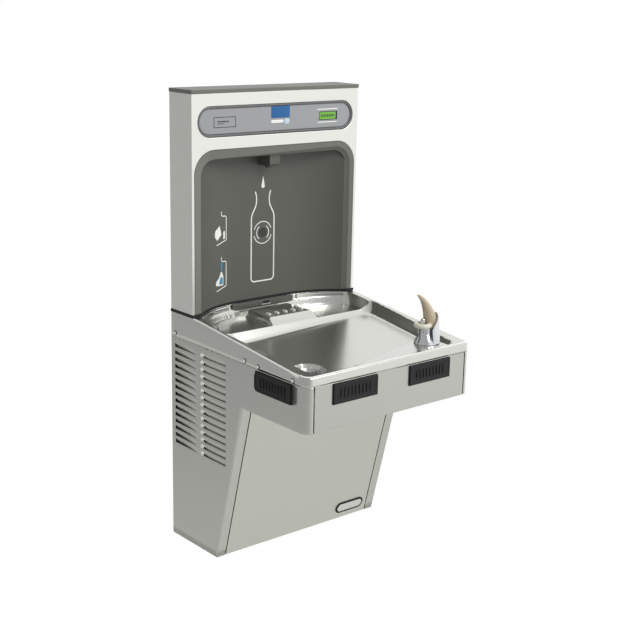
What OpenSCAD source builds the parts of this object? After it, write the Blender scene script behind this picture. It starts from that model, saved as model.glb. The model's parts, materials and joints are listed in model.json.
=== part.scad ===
// Wall-mounted bottle filling station with a drinking fountain.
// Millimetres, +Z up. The origin is at the bottom centre of the wall plane.
// X runs to the viewer's right, and the front faces -Y.
// A depth, written _d, is counted from the wall towards the front.

/* [Overall] */
// Width over the side panels
unit_w = 456; // [440:1:480]
// Height from the cabinet foot to the top of the cap
unit_h = 1002; // [980:1:1040]
// Depth from the wall to the apron face
apron_d = 468; // [460:1:480]
// Radius of the apron's upright front corners
corner_r = 20; // [14:1:24]
// Clearance between separate covers
seam_gap = 0.3; // [0.2:0.05:0.5]
// Radial clearance of sliding and turning fits
run_fit = 0.05; // [0.03:0.01:0.08]

/* [Cabinet] */
// Depth of the cabinet at its foot
foot_d = 171; // [160:1:180]
// Depth of the cabinet under the apron
shoulder_d = 264; // [255:1:272]
// Height of the apron's lower edge
apron_z = 368; // [360:1:374]
// Height of the seam between the side panels and the basin skirt
skirt_z = 463.5; // [462:0.5:466]
// Sheet thickness of the cabinet panels
panel_t = 1.5; // [1.2:0.1:1.8]
// Width of the side panels' flanges beside the sloped front
flange_w = 22; // [16:1:26]

/* [Louvres] */
// Number of louvres in a column
louvre_rows = 15; // [8:1:15]
// Distance from one louvre to the next
louvre_pitch = 15.8; // [14:0.1:15.8]
// Height of the top louvre
louvre_top_z = 447; // [440:1:450]
// Height of a louvre slot
louvre_h = 4; // [3:0.5:5]
// Length of a louvre slot
louvre_len = 82; // [70:1:84]
// Depth at which the rear column starts
louvre_rear_d = 14; // [12:1:18]
// Depth at which the front column starts
louvre_front_d = 121; // [118:1:126]
// How far a louvre's hood reaches into the cabinet
louvre_hood = 5; // [3:0.5:6]

/* [Basin] */
// Sheet thickness of the basin
basin_t = 1.5; // [1.2:0.1:1.8]
// Height of the front rim
rim_z = 484; // [482:0.5:486]
// Height of the side wings beside the filler
wing_z = 521.5; // [518:0.5:524]
// Depth over which the wings are level
wing_flat_d = 92; // [90:1:100]
// Distance from the apron's face at which the wings run out on the rim
wing_run = 37; // [28:1:53]
// Radius of the rolled front rim
rim_r = 6; // [4:0.5:8]
// Half width of the bowl at its foot
bowl_foot_x = 165; // [160:1:170]
// Half width of the bowl at its mouth
bowl_mouth_x = 235; // [232:1:238]
// Radius of the bowl's corners at its foot
bowl_foot_r = 22; // [15:1:26]
// Radius of the bowl's corners at its mouth
bowl_mouth_r = 34; // [26:1:40]
// Height of the bowl floor at its rear right
floor_z = 484; // [482:0.5:486]
// Fall of the bowl floor from its rear to its front
floor_drop = 23.4; // [20:0.1:24]
// Fall of the bowl floor towards the left, in degrees
floor_lean = 2.1; // [1.5:0.1:2.5]
// Height of the shelf behind the bowl
shelf_z = 493; // [491:0.5:495]
// Depth at which the shelf ends in its ridge
shelf_d = 157; // [154:1:160]

/* [Waste] */
// Place of the drain to the left of the middle
drain_x = 135; // [125:1:140]
// Distance of the drain from the apron's face
drain_in = 105; // [100:1:113]
// Radius of the strainer's recess
drain_r = 37; // [32:1:38]
// Height of the recess floor
drain_z = 446; // [444:0.5:448]
// Radius of the waste tube
waste_r = 15.9; // [14:0.1:18]
// Wall of the waste tube
waste_t = 1.2; // [1:0.1:2]
// Height of the waste arm's axis
waste_z = 408; // [406:1:410]

/* [Bottle platform] */
// Width of the platform on top
platform_w = 121; // [100:1:140]
// Height of the platform
platform_z = 509; // [506:0.5:512]
// Depth of the platform's front edge on top
platform_d = 130; // [124:1:136]
// Number of ribs on the platform
platform_ribs = 5; // [3:1:6]
// Distance from one rib to the next
platform_pitch = 23; // [18:0.5:24]

/* [Bubbler] */
// Place of the bubbler to the right of the middle
bubbler_x = 140; // [134:1:144]
// Distance of the bubbler from the apron's face
bubbler_in = 51; // [48:1:56]
// Radius of the bubbler's foot
bubbler_foot_r = 26; // [22:0.5:27]
// Radius of the bubbler's column
bubbler_column_r = 16; // [13:0.5:18]
// Height of the column above the rim
bubbler_column_h = 34; // [30:1:38]
// Radius of the guard's collar at its middle
guard_ring_r = 14; // [12:0.5:15]
// Radius of the collar's section
guard_ring_t = 5.5; // [4.5:0.5:6]
// Height of the guard's tip above the rim
guard_h = 110; // [96:1:116]

/* [Filler] */
// Depth of the filler casing
filler_d = 82; // [80:0.5:88]
// Thickness of the gasket under the casing
gasket_t = 6; // [4:0.5:7]
// Sheet thickness of the casing
casing_t = 1.5; // [1.2:0.1:1.8]
// Thickness of the top cap
cap_t = 8; // [6:0.5:10]
// Overhang of the top cap
cap_over = 1.5; // [0.5:0.5:2]
// Distance from the casing's side to the alcove opening
alcove_in = 6.5; // [6:0.5:9]
// Distance from the top of the unit to the alcove opening
alcove_drop = 125; // [122:1:132]
// Radius of the alcove opening's top corners
alcove_r = 52; // [40:1:60]
// Width of the bezel inside the opening
bezel_w = 21; // [18:0.5:22]
// Depth of the bezel's slope
bezel_d = 7; // [5:0.5:9]
// Wall of the alcove liner
liner_t = 2.5; // [2:0.1:3]
// Depth of the liner's back wall in the middle
liner_back_d = 28; // [27:0.5:32]
// Radius of the liner's curved sides
liner_r = 200; // [190:1:210]
// Half width of the flat middle of the back wall
liner_flat_x = 70; // [66:1:74]

/* [Nozzle] */
// Width of the nozzle housing
nozzle_w = 28; // [24:1:34]
// Depth of the nozzle housing's front
nozzle_d = 70; // [64:1:72]
// Height of the nozzle housing
nozzle_h = 26; // [22:1:30]
// Radius of the aerator
aerator_r = 7; // [5:0.5:8]

/* [Fascia] */
// Distance from the casing's side to the fascia
fascia_in = 15; // [13:1:28]
// Height of the fascia
fascia_h = 65; // [60:1:70]
// Distance from the top of the unit to the fascia's middle
fascia_drop = 67; // [64:1:72]
// Width of the fascia's trim
fascia_rim = 6; // [4:0.5:8]
// Width of the display window
window_w = 53; // [45:1:60]
// Height of the display window
window_h = 19; // [15:0.5:22]
// Distance from the casing's side to the display window's middle
window_in = 85.5; // [78:0.5:93]

/* [Push pads] */
// Length of a push pad
pad_w = 117; // [100:1:120]
// Height of a push pad
pad_h = 42; // [36:0.5:42]
// Height of the pads' middle
pad_z = 439.5; // [438:0.5:440]
// Place of the front pads beside the middle
pad_x = 103.4; // [96:0.2:106]
// Distance of the side pads' middle from the apron's face
pad_in = 105.5; // [102:0.5:113]
// How far a pad stands out at rest
pad_out = 5; // [4:0.5:6]
// Travel of a pad
pad_travel = 3; // [2:0.5:3]
// Number of grip ribs on a pad
pad_ribs = 9; // [5:1:11]
// Radius of a pad's guide stem
stem_r = 4; // [3:0.5:5]

/* [Badge] */
// Length of the badge plate
badge_w = 80; // [60:1:90]
// Height of the badge plate along the slope
badge_h = 29; // [22:1:32]
// Distance from the unit's side to the badge's middle
badge_in = 78; // [73:1:88]
// Distance of the badge's middle up the slope
badge_up = 29; // [24:1:36]

/* [Cooling] */
// Radius of the compressor's shell
compressor_r = 62; // [54:1:64]
// Height of the compressor's shell
compressor_h = 146; // [120:1:150]
// Radius of the fan
fan_r = 68; // [56:1:68]
// Number of fan blades
fan_blades = 5; // [4:1:6]
// Radius of the fan motor
motor_r = 28; // [24:1:32]
// Radius of the fan's shaft
shaft_r = 3; // [2.5:0.25:4]
// Number of passes of the condenser's tube
coil_passes = 6; // [4:2:6]
// Radius of the condenser's tube
coil_r = 4; // [3:0.5:4.5]
// Number of condenser fins
fin_count = 14; // [8:1:16]
// Radius of the cooling tank
tank_r = 46; // [40:1:50]
// Height of the cooling tank
tank_h = 150; // [130:1:160]
// Radius of the water filter's cartridge
filter_r = 34; // [28:1:36]
// Length of the water filter's cartridge
filter_h = 220; // [180:1:230]

/* [Mounting] */
// Radius of the wall bolt holes
bolt_r = 4.25; // [3.5:0.25:5]
// Distance from the unit's sides to the hanger's bolts
hanger_bolt_in = 58; // [53:1:68]
// Distance between the hanger's bolts, up and down
hanger_bolt_z = 30; // [24:1:30]
// Distance from the unit's sides to the filler's bolts
filler_bolt_in = 68; // [58:1:88]
// Distance from the filler's bolts to the casing's top and foot
filler_bolt_up = 83.25; // [74:0.25:102]
// Radius of the water tube
water_r = 4.76; // [4:0.05:6]
// Clearance of the pipes where they leave through the back
pipe_gap = 7; // [4:0.5:8]

/* [Hidden] */
$fn = 64;
over = 5;
half_w = unit_w / 2;
skin = 0.1;
spread = 600;

slope_angle = atan((shoulder_d - foot_d) / apron_z);
seam_x = half_w - corner_r - seam_gap;
panel_top = skirt_z - seam_gap;
flange_x = half_w - flange_w;
rear_flange_w = 24;
hanger_z = apron_z + 3 * over;
wing_end_d = apron_d - wing_run;
drain_d = apron_d - drain_in;
bubbler_d = apron_d - bubbler_in;
pad_d = apron_d - pad_in;
badge_x = half_w - badge_in;

gasket_z = wing_z;
casing_z = gasket_z + gasket_t;
casing_top = unit_h - cap_t;
hanger_bolt_x = unit_w - 2 * hanger_bolt_in;
filler_bolt_x = unit_w - 2 * filler_bolt_in;
filler_bolt_z = casing_top - casing_z - 2 * filler_bolt_up;
fascia_w = unit_w - 2 * fascia_in;
fascia_z = unit_h - fascia_drop;
window_x = half_w - window_in;
alcove_x = half_w - alcove_in;
alcove_z = unit_h - alcove_drop;
inner_x = alcove_x - bezel_w;
inner_z = alcove_z - bezel_w;
inner_r = alcove_r - bezel_w + over;
liner_x = alcove_x - seam_gap;
liner_depth = filler_d - bezel_d;

low_z = drain_z - over;
bowl_low_z = 440;
bowl_high_z = 530;
bowl_front_in = 28;
bowl_front_over = 7;
bowl_front_low = apron_d - bowl_front_in;
bowl_front_high = apron_d + bowl_front_over;
bowl_rear_low = 206;
bowl_rear_high = 131;
floor_fall = atan(floor_drop / (bowl_front_low - bowl_rear_low));
island_r = 30;
island_lip = 3;
shelf_in = 15;
shelf_x = half_w - shelf_in;
shelf_step_z = 510;
shelf_step = 3;

strainer_t = 2;
strainer_hole_r = 3;
strainer_rings = [9, 18, 27];
hole_arc = 42;
outlet_r = waste_r + seam_gap;
nut_r = 22;
nut_h = 12;
elbow_r = 22;

pad_hold = 3.5;
pad_hold_t = 2;
pad_edge = 0.5;
pad_rib_w = 3;
pad_rib_h = 1;
pad_hold_y = panel_t + seam_gap;
stem_z = -7.3;
bracket_y = 19;
bracket_t = 1.5;
bracket_x = pad_w / 2 + 7.5 * bracket_t;
bracket_h = 22;
boss_r = 7;
boss_l = 3.5;
stem_end = 28;
button_r = 2.2;
button_l = 5.2;
switch_y = stem_end + 3.5;
switch_w = 16;
switch_l = 13.5;
spring_r = 7.5;
spring_t = 1.5;

valve_d = 47;
valve_z = alcove_z - over;
valve_w = 34;
valve_h = 24;
coil_outer_r = 14;
coil_h = 34;
plunger_r = 5;
plunger_h = 26;
plunger_z = valve_z + valve_h - 6;
seat_z = plunger_z - 4;
spring_wall = 1.2;

riser_x = 60;
riser_d = 16;
sensor_share = 0.425;
sensor_z = casing_z + sensor_share * (alcove_z - casing_z);
sensor_r = 11;
sensor_t = 6;

condenser_in = 28;
condenser_x = half_w - condenser_in;
condenser_w = 30;
condenser_d0 = 22;
condenser_len = 166;
condenser_z0 = 226;
condenser_h = 152;
fan_in = 34;
fan_x = condenser_x - fan_in;
fan_d = 105;
fan_z = condenser_z0 + condenser_h / 2;
shroud_t = 1.5;
blade_w = 30;
blade_t = 1.5;
hub_r = 14;
hub_l = 18;
motor_l = 44;

compressor_x = 106;
compressor_d = 88;
grommet_r = 11;
grommet_h = 10;
grommet_reach = 54;
tank_x = 122;
tank_d = 104;
tank_z = 150;
evap_r = 3;
evap_turns = 8;
evap_pitch = 13;
inlet_x = 50;
inlet_z = 302;
filter_in = 42;
filter_d = tank_d - filter_in;
filter_z = 50;
head_h = 42;
box_w = 116;
box_d = 56;
box_h = 60;
box_z = 322;
foot_t = 2;
stub_x = 40;
stub_z = 166;
line_z = 195;
evap_top = tank_z + 3 * over + evap_turns * evap_pitch;
drier_x = 28;
drier_d = 145;
drier_z = 60;
drier_h = 80;
drier_r = 11;
drink_z = 396;
elbow_w = 12;
fin_t = 0.8;
bar_t = 2;
motor_in = 11;
motor_x = fan_x - motor_in;
shank_w = 8;
shank_depth = 28;
locknut_hole_r = shank_w + seam_gap;
nozzle_r = 5;
guard_lean = 10;
horn_shares = [
    [0.07, 0.33, 0.127], [0.055, 0.45, 0.12], [0.02, 0.6, 0.105], [-0.04, 0.73, 0.084],
    [-0.11, 0.85, 0.058], [-0.2, 0.94, 0.036], [-0.25, 0.97, 0.026]
];
screw_r = 4;
screw_h = 1.5;
shank_r = 2;
shank_l = 6;
rear_screw = [15, 475];
front_screws = [[200, 472], [155, 470], [44, 469]];
screw_places = [rear_screw, each [for (p = front_screws) [apron_d - p[0], p[1]]]];

// Shared shapes

// A place at a depth in front of the wall
module at(x, d, z) {
    translate([x, -d, z]) children();
}

// A box by its middle in x, its nearest depth and its foot
module block(x, d, z, w, l, h) {
    translate([x - w / 2, -d - l, z]) cube([w, l, h]);
}

// A side view, given as depths and heights, drawn out along x from x0
module side_slab(points, x0, w) {
    translate([x0, 0, 0]) rotate([90, 0, 90]) linear_extrude(w)
        polygon([for (p = points) [-p[0], p[1]]]);
}

// A front view drawn out from one depth to a greater one
module front_slab(d0, d1) {
    translate([0, -d0, 0]) rotate([90, 0, 0]) linear_extrude(d1 - d0) children();
}

// A cylinder along y that starts at a depth and runs to the front
module peg(x, d, z, r, l) {
    translate([x, -d, z]) rotate([90, 0, 0]) cylinder(h = l, r = r);
}

// A rod from one point to another
module rod(p, q, r) {
    v = q - p;
    translate(p) rotate([0, acos(v[2] / norm(v)), atan2(v[1], v[0])]) cylinder(h = norm(v), r = r);
}

// A tube through points, with a slightly fuller ball where it turns
module pipe(points, r) {
    for (i = [0 : len(points) - 2]) rod(points[i], points[i + 1], r);
    for (i = [1 : len(points) - 2]) translate(points[i]) sphere(r = r + skin);
}

// A tube through points, with a square push-fit elbow where it turns
module elbowed(points, r) {
    for (i = [0 : len(points) - 2]) rod(points[i], points[i + 1], r);
    for (i = [1 : len(points) - 2]) translate(points[i]) cube(elbow_w, center = true);
}

// A rectangle about its middle with round corners
module rounded(w, h, r) {
    square([w, h - 2 * r], center = true);
    square([w - 2 * r, h], center = true);
    for (x = [-1, 1], y = [-1, 1]) translate([x * (w / 2 - r), y * (h / 2 - r)]) circle(r = r);
}

// An upright opening from z0 to z1 with round top corners
module arch(half, z0, z1, r) {
    translate([-half, z0]) square([2 * half, z1 - r - z0]);
    translate([r - half, z0]) square([2 * (half - r), z1 - z0]);
    for (x = [-1, 1]) translate([x * (half - r), z1 - r]) circle(r = r);
}

// Plan of the space in front of the alcove's curved back wall
module alcove_plan(grow) {
    mid_d = liner_back_d + liner_r;
    for (x = [-1, 1]) translate([x * liner_flat_x, -mid_d]) circle(r = liner_r + grow, $fn = 180);
    translate([-liner_flat_x, -mid_d]) square([2 * liner_flat_x, liner_r + grow]);
}

// Filler: casing, liner and gasket

module filler_casing() {
    color("whitesmoke") difference() {
        block(0, 0, casing_z, unit_w, filler_d, casing_top - casing_z);
        block(0, -over, casing_z - over, unit_w - 2 * casing_t, filler_d + over - casing_t,
            casing_top - casing_t - casing_z + over);
        front_slab(filler_d - casing_t - over, filler_d + over)
            arch(alcove_x, casing_z - over, alcove_z, alcove_r);
        front_slab(filler_d - casing_t - over, filler_d + over)
            translate([0, fascia_z]) rounded(fascia_w, fascia_h, fascia_h / 2 - skin);
    }
}

module top_cap() {
    color("dimgray") difference() {
        block(0, 0, casing_top, unit_w + 2 * cap_over, filler_d + cap_over, cap_t);
        block(0, cap_t, casing_top - over, unit_w - 2 * cap_t, filler_d - 2 * cap_t,
            over + cap_t / 2);
    }
}

module alcove_space(grow) {
    intersection() {
        translate([0, 0, casing_z - over]) linear_extrude(inner_z + grow - casing_z + over)
            alcove_plan(grow);
        front_slab(0, filler_d + over) arch(inner_x + grow, casing_z - over, inner_z + grow, inner_r);
    }
}

module alcove_liner() {
    color("dimgray") difference() {
        union() {
            front_slab(liner_depth - over, filler_d)
                arch(liner_x, casing_z, alcove_z - seam_gap, alcove_r);
            intersection() {
                alcove_space(liner_t);
                block(0, 0, casing_z, unit_w, liner_depth, unit_h);
            }
        }
        alcove_space(0);
        hull() {
            front_slab(liner_depth - skin, liner_depth)
                arch(inner_x, casing_z - over, inner_z, inner_r, $fn = 32);
            front_slab(filler_d, filler_d + skin)
                arch(liner_x - seam_gap, casing_z - over, alcove_z - 2 * seam_gap, alcove_r, $fn = 32);
        }
        peg(0, 0, sensor_z, sensor_r, filler_d);
        at(0, valve_d, inner_z - over) cylinder(h = 3 * over, r = water_r + seam_gap);
    }
}

module filler_gasket() {
    color("black") difference() {
        block(0, 0, gasket_z, unit_w + 2 * cap_over, filler_d + cap_over, gasket_t);
        intersection() {
            translate([0, 0, gasket_z - over]) linear_extrude(gasket_t + 2 * over) alcove_plan(0);
            block(0, 0, gasket_z - over, 2 * alcove_x, filler_d + 2 * over, gasket_t + 2 * over);
        }
        at(-riser_x, riser_d, gasket_z - over)
            cylinder(h = gasket_t + 2 * over, r = water_r + seam_gap);
    }
}

module bolt_holes(x, z, depth) {
    for (i = [-1, 1], j = [-1, 1]) peg(i * x / 2, -over, j * z / 2, bolt_r, depth + 2 * over);
}

module filler_back_plate() {
    plate_w = unit_w - 2 * casing_t - 2 * seam_gap;
    plate_z = casing_z + casing_t;
    color("silver") difference() {
        block(0, 0, plate_z, plate_w, casing_t, casing_top - casing_t - seam_gap - plate_z);
        translate([0, 0, (casing_z + casing_top) / 2])
            bolt_holes(filler_bolt_x, filler_bolt_z, casing_t);
    }
}

// Filler: nozzle, valve and sensor

module nozzle_housing() {
    wall = liner_t;
    foot_z = inner_z - nozzle_h;
    color("gray") difference() {
        side_slab([[liner_back_d, inner_z], [liner_back_d, foot_z], [nozzle_d - 2 * wall, foot_z],
            [nozzle_d, foot_z + 2 * wall], [nozzle_d, inner_z]], -nozzle_w / 2, nozzle_w);
        block(0, liner_back_d + wall, foot_z + wall, nozzle_w - 2 * wall,
            nozzle_d - liner_back_d - 3 * wall, nozzle_h);
        at(0, valve_d, foot_z - over) cylinder(h = 2 * over, r = aerator_r + seam_gap);
    }
}

module aerator() {
    foot_z = inner_z - nozzle_h;
    color("silver") at(0, valve_d, 0) difference() {
        union() {
            translate([0, 0, foot_z - over]) cylinder(h = 2 * over, r = aerator_r);
            translate([0, 0, foot_z + liner_t + seam_gap])
                cylinder(h = over, r = aerator_r + liner_t);
        }
        translate([0, 0, foot_z - 2 * over]) cylinder(h = 5 * over, r = aerator_r / 2);
    }
}

module filler_valve_body() {
    color("white") difference() {
        union() {
            block(0, valve_d - valve_w / 2, valve_z, valve_w, valve_w, valve_h);
            for (x = [-1, 1], y = [-1, 1])
                at(x * (valve_w / 2 - screw_r), valve_d + y * (valve_w / 2 - screw_r),
                    inner_z + liner_t) cylinder(h = valve_z - inner_z - liner_t + over, r = screw_r);
        }
        at(0, valve_d, valve_z - over) cylinder(h = valve_h, r = water_r);
        at(0, valve_d, seat_z) cylinder(h = valve_h, r = plunger_r + run_fit);
    }
}

module filler_valve_coil() {
    base_z = valve_z + valve_h;
    color("firebrick") difference() {
        at(0, valve_d, base_z) cylinder(h = coil_h, r = coil_outer_r);
        at(0, valve_d, base_z - over) cylinder(h = coil_h + over - 2 * spring_wall,
            r = plunger_r + run_fit);
    }
}

module filler_plunger() {
    color("silver") at(0, valve_d, plunger_z) cylinder(h = plunger_h, r = plunger_r);
}

module filler_plunger_spring() {
    foot_z = plunger_z + plunger_h + seam_gap;
    top_z = valve_z + valve_h + coil_h - 2 * spring_wall - seam_gap;
    color("gainsboro") at(0, valve_d, foot_z) difference() {
        cylinder(h = top_z - foot_z, r = plunger_r - spring_wall / 2);
        translate([0, 0, -over]) cylinder(h = top_z, r = plunger_r - 2 * spring_wall);
    }
}

module sensor_lens() {
    color("black") union() {
        peg(0, liner_back_d - liner_t, sensor_z, sensor_r - seam_gap, liner_t);
        peg(0, liner_back_d - liner_t - casing_t, sensor_z, sensor_r + liner_t, casing_t);
    }
}

module sensor_module() {
    top_d = liner_back_d - liner_t - casing_t - seam_gap;
    color("darkgreen") union() {
        block(0, top_d - sensor_t, sensor_z - 2 * sensor_r, 4 * sensor_r, sensor_t, 4 * sensor_r);
        for (x = [-1, 1])
            peg(x * 1.5 * sensor_r, casing_t, sensor_z + sensor_r, screw_r, top_d - sensor_t - casing_t);
    }
}

// Filler: fascia and display

module fascia_trim() {
    color("slategray") front_slab(filler_d - over - casing_t, filler_d) difference() {
        translate([0, fascia_z]) rounded(fascia_w - 2 * seam_gap, fascia_h - 2 * seam_gap,
            fascia_h / 2 - seam_gap - skin);
        translate([0, fascia_z]) rounded(fascia_w - 2 * fascia_rim, fascia_h - 2 * fascia_rim,
            fascia_h / 2 - fascia_rim - skin);
    }
}

module fascia_panel() {
    gap = fascia_rim + seam_gap;
    color("lightsteelblue") front_slab(filler_d - over, filler_d - over / 2) difference() {
        translate([0, fascia_z]) rounded(fascia_w - 2 * gap, fascia_h - 2 * gap,
            fascia_h / 2 - gap - skin);
        translate([window_x, fascia_z]) square([window_w, window_h], center = true);
    }
}

module display_window() {
    color("yellowgreen") front_slab(filler_d - over, filler_d - over / 2)
        translate([window_x, fascia_z])
            square([window_w - 2 * seam_gap, window_h - 2 * seam_gap], center = true);
}

module display_board() {
    board_d = filler_d - 3 * over;
    color("darkgreen") union() {
        block(window_x, board_d, fascia_z - window_h, window_w + 2 * over, casing_t, 2 * window_h);
        for (x = [-1, 1], z = [-1, 1])
            peg(window_x + x * window_w / 2, board_d + casing_t, fascia_z + z * (window_h - over),
                screw_r / 2, 2 * over - casing_t);
    }
}

module fascia_badge() {
    badge_t = 0.8;
    badge_l = 50.5;
    color("royalblue") front_slab(filler_d - over / 2, filler_d - over / 2 + badge_t)
        translate([over, fascia_z + 2 * over]) square([badge_l, badge_l / 2], center = true);
}

// Cabinet: side panels, apron, front, back and foot

// Side view of the cabinet with the apron, from the foot to a height
function cabinet_side(top, back = 0) = [
    [back, 0], [foot_d, 0], [shoulder_d, apron_z], [apron_d - corner_r, apron_z],
    [apron_d - corner_r, top], [back, top]
];

// A strip along the sloped front, from one depth behind its face to another
function slope_strip(d0, d1, z0 = 0) = [
    [foot_d - d1, z0], [foot_d - d0, z0], [shoulder_d - d0, apron_z], [shoulder_d - d1, apron_z]
];

module louvre_slots() {
    for (i = [0 : louvre_rows - 1], d = [louvre_rear_d, louvre_front_d])
        block(half_w, d, louvre_top_z - i * louvre_pitch - louvre_h, 2 * over, louvre_len, louvre_h);
}

module louvre_hoods() {
    for (i = [0 : louvre_rows - 1], d = [louvre_rear_d, louvre_front_d])
        translate([half_w, 0, louvre_top_z - i * louvre_pitch])
            translate([0, -d, 0]) rotate([90, 0, 0]) linear_extrude(louvre_len)
                polygon([[-panel_t, 0], [-panel_t - louvre_hood, -louvre_h],
                    [-panel_t - louvre_hood, panel_t - louvre_h], [-panel_t, 2 * panel_t],
                    [-panel_t / 2, 2 * panel_t], [-panel_t / 2, 0]]);
}

module pad_hole() {
    translate([0, over, 0]) rotate([90, 0, 0]) linear_extrude(2 * over)
        square([pad_w + 2 * pad_edge, pad_h + 2 * pad_edge], center = true);
}

// The side panel on the right; the left one is its mirror image
module side_panel() {
    louvre_hoods();
    difference() {
        union() {
            side_slab(cabinet_side(panel_top), half_w - panel_t, panel_t);
            at(half_w - corner_r, apron_d - corner_r, apron_z) difference() {
                cylinder(h = panel_top - apron_z, r = corner_r);
                translate([0, 0, -over]) cylinder(h = unit_h, r = corner_r - panel_t);
                translate([-unit_w, -corner_r - over, -over]) cube([unit_w, unit_w, unit_h]);
                translate([-corner_r, 0, -over]) cube([unit_w, unit_w, unit_h]);
            }
            side_slab(slope_strip(0, panel_t), flange_x, flange_w);
            side_slab([[0, 0], [panel_t, 0], [panel_t, panel_top], [0, panel_top]],
                half_w - rear_flange_w, rear_flange_w);
        }
        louvre_slots();
        at(half_w, pad_d, pad_z) rotate([0, 0, 90]) pad_hole();
    }
}

module right_side_panel() {
    color("silver") side_panel();
}

module left_side_panel() {
    color("silver") mirror([1, 0, 0]) side_panel();
}

module front_apron() {
    color("silver") difference() {
        union() {
            block(0, apron_d - panel_t, apron_z, 2 * seam_x, panel_t, panel_top - apron_z);
            block(0, shoulder_d + seam_gap, apron_z, unit_w - 2 * panel_t - 2 * seam_gap,
                apron_d - corner_r - shoulder_d - seam_gap, panel_t);
            block(0, apron_d - corner_r - skin, apron_z, 2 * seam_x, corner_r, panel_t);
        }
        for (x = [-1, 1]) at(x * pad_x, apron_d, pad_z) pad_hole();
    }
}

module front_panel() {
    color("silver") side_slab(slope_strip(0, panel_t), seam_gap - flange_x,
        2 * (flange_x - seam_gap));
}

module cabinet_back() {
    plate_w = unit_w - 2 * rear_flange_w - 2 * seam_gap;
    shelf_w = 2 * (tank_r + 4 * over);
    color("gainsboro") difference() {
        union() {
            block(0, 0, 0, plate_w, panel_t, hanger_z - seam_gap);
            block(tank_x, 0, tank_z - panel_t, shelf_w, tank_d + tank_r, panel_t);
            for (x = [-1, 1])
                side_slab([[0, tank_z - 8 * over], [tank_d, tank_z], [0, tank_z]],
                    tank_x + x * (shelf_w - panel_t) / 2 - panel_t / 2, panel_t);
        }
        peg(inlet_x, -over, inlet_z, water_r + pipe_gap, 4 * over);
    }
}

module base_pan() {
    color("gray") difference() {
        block(0, panel_t + seam_gap, 0, unit_w - 2 * panel_t - 2 * seam_gap,
            foot_d - 2 * panel_t - 2 * seam_gap, panel_t);
        for (i = [-2 : 2])
            at(i * 8 * over, foot_d - 6 * over, -over) cylinder(h = 3 * over, r = screw_r);
    }
}

module hanger_bracket() {
    plate_h = hanger_bolt_z + 8 * over;
    plate_w = unit_w - 2 * rear_flange_w - 2 * seam_gap;
    hanger_t = 2 * panel_t;
    color("gainsboro") difference() {
        union() {
            block(0, 0, hanger_z, plate_w, hanger_t, plate_h);
            block(0, 0, hanger_z + plate_h, plate_w, 2 * over, hanger_t);
            block(0, 2 * over - hanger_t, hanger_z + plate_h, plate_w, hanger_t, 2 * over);
        }
        translate([0, 0, hanger_z + plate_h / 2]) bolt_holes(hanger_bolt_x, hanger_bolt_z, hanger_t);
        peg(-drain_x, -over, waste_z, waste_r + pipe_gap, 3 * over);
    }
}

module badge_plate() {
    badge_t = 1.6;
    color("gainsboro") at(badge_x, foot_d, 0) rotate([slope_angle, 0, 0])
        translate([0, 0, badge_up]) rotate([90, 0, 0]) union() {
            linear_extrude(badge_t) rounded(badge_w, badge_h, badge_h / 2 - skin);
            linear_extrude(badge_t * 1.4)
                rounded(badge_w - over, badge_h - over, badge_h / 2 - over / 2 - skin);
        }
}

// Basin and bottle platform

// Side view of the basin, drawn in by an inset, down to a height
function wing_side(inset, foot) = [
    [inset, foot], [inset, wing_z - inset], [wing_flat_d, wing_z - inset],
    [wing_end_d, rim_z - inset], [apron_d - rim_r, rim_z - inset],
    each [for (a = [15 : 15 : 75])
        [apron_d - rim_r + (rim_r - inset) * sin(a), rim_z - rim_r + (rim_r - inset) * cos(a)]],
    [apron_d - inset, rim_z - rim_r], [apron_d - inset, foot]
];

module basin_plan(inset) {
    round_r = corner_r - inset;
    translate([inset - half_w, corner_r - apron_d]) square([unit_w - 2 * inset, apron_d - corner_r]);
    translate([corner_r - half_w, inset - apron_d]) square([unit_w - 2 * corner_r, apron_d - inset]);
    for (x = [-1, 1]) translate([x * (half_w - corner_r), corner_r - apron_d]) circle(r = round_r);
}

module basin_block(inset, foot) {
    intersection() {
        side_slab(wing_side(inset, foot), -half_w, unit_w);
        translate([0, 0, foot - over]) linear_extrude(unit_h) basin_plan(inset);
    }
}

// A plan rectangle with round corners between two depths
module bowl_ring(half, rear, front, r) {
    translate([0, -(rear + front) / 2]) rounded(2 * half, front - rear, r, $fn = 40);
}

// The deck that carries the bubbler, widened by a lip at the floor
module island(grow) {
    for (part = [[0, island_r], [unit_w / 2, island_r / 2]])
        hull() {
            translate([0, 0, rim_z - 2 * skin]) linear_extrude(skin) island_plan(part, grow);
            translate([0, 0, low_z]) linear_extrude(skin) island_plan(part, grow + 2 * island_lip);
        }
}

module island_plan(part, grow) {
    translate([bubbler_x, -bubbler_d]) circle(r = island_r + grow, $fn = 40);
    translate([bubbler_x - part[0], -apron_d]) circle(r = part[1] + grow, $fn = 40);
}

module front_bowl(grow) {
    intersection() {
        difference() {
            hull() {
                translate([0, 0, bowl_low_z]) linear_extrude(skin)
                    bowl_ring(bowl_foot_x + grow, bowl_rear_low - grow, bowl_front_low + grow,
                        bowl_foot_r);
                translate([0, 0, bowl_high_z]) linear_extrude(skin)
                    bowl_ring(bowl_mouth_x + grow, bowl_rear_high - grow, bowl_front_high + grow,
                        bowl_mouth_r);
            }
            island(-grow);
        }
        above_floor(grow);
    }
}

// The space over the sloping floor
module above_floor(grow) {
    at(bowl_foot_x, bowl_rear_low, floor_z - grow) rotate([floor_fall, -floor_lean, 0])
        translate([-spread, -spread, 0]) cube([2 * spread, 2 * spread, spread]);
}

module rear_bowl(grow) {
    for (step = [[shelf_z, 0], [shelf_step_z, shelf_step]])
        translate([0, 0, step[0] - grow]) linear_extrude(unit_h) intersection() {
            alcove_plan(grow + step[1] - shelf_step);
            translate([-shelf_x - grow, -shelf_d]) square([2 * (shelf_x + grow), shelf_d]);
        }
}

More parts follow.
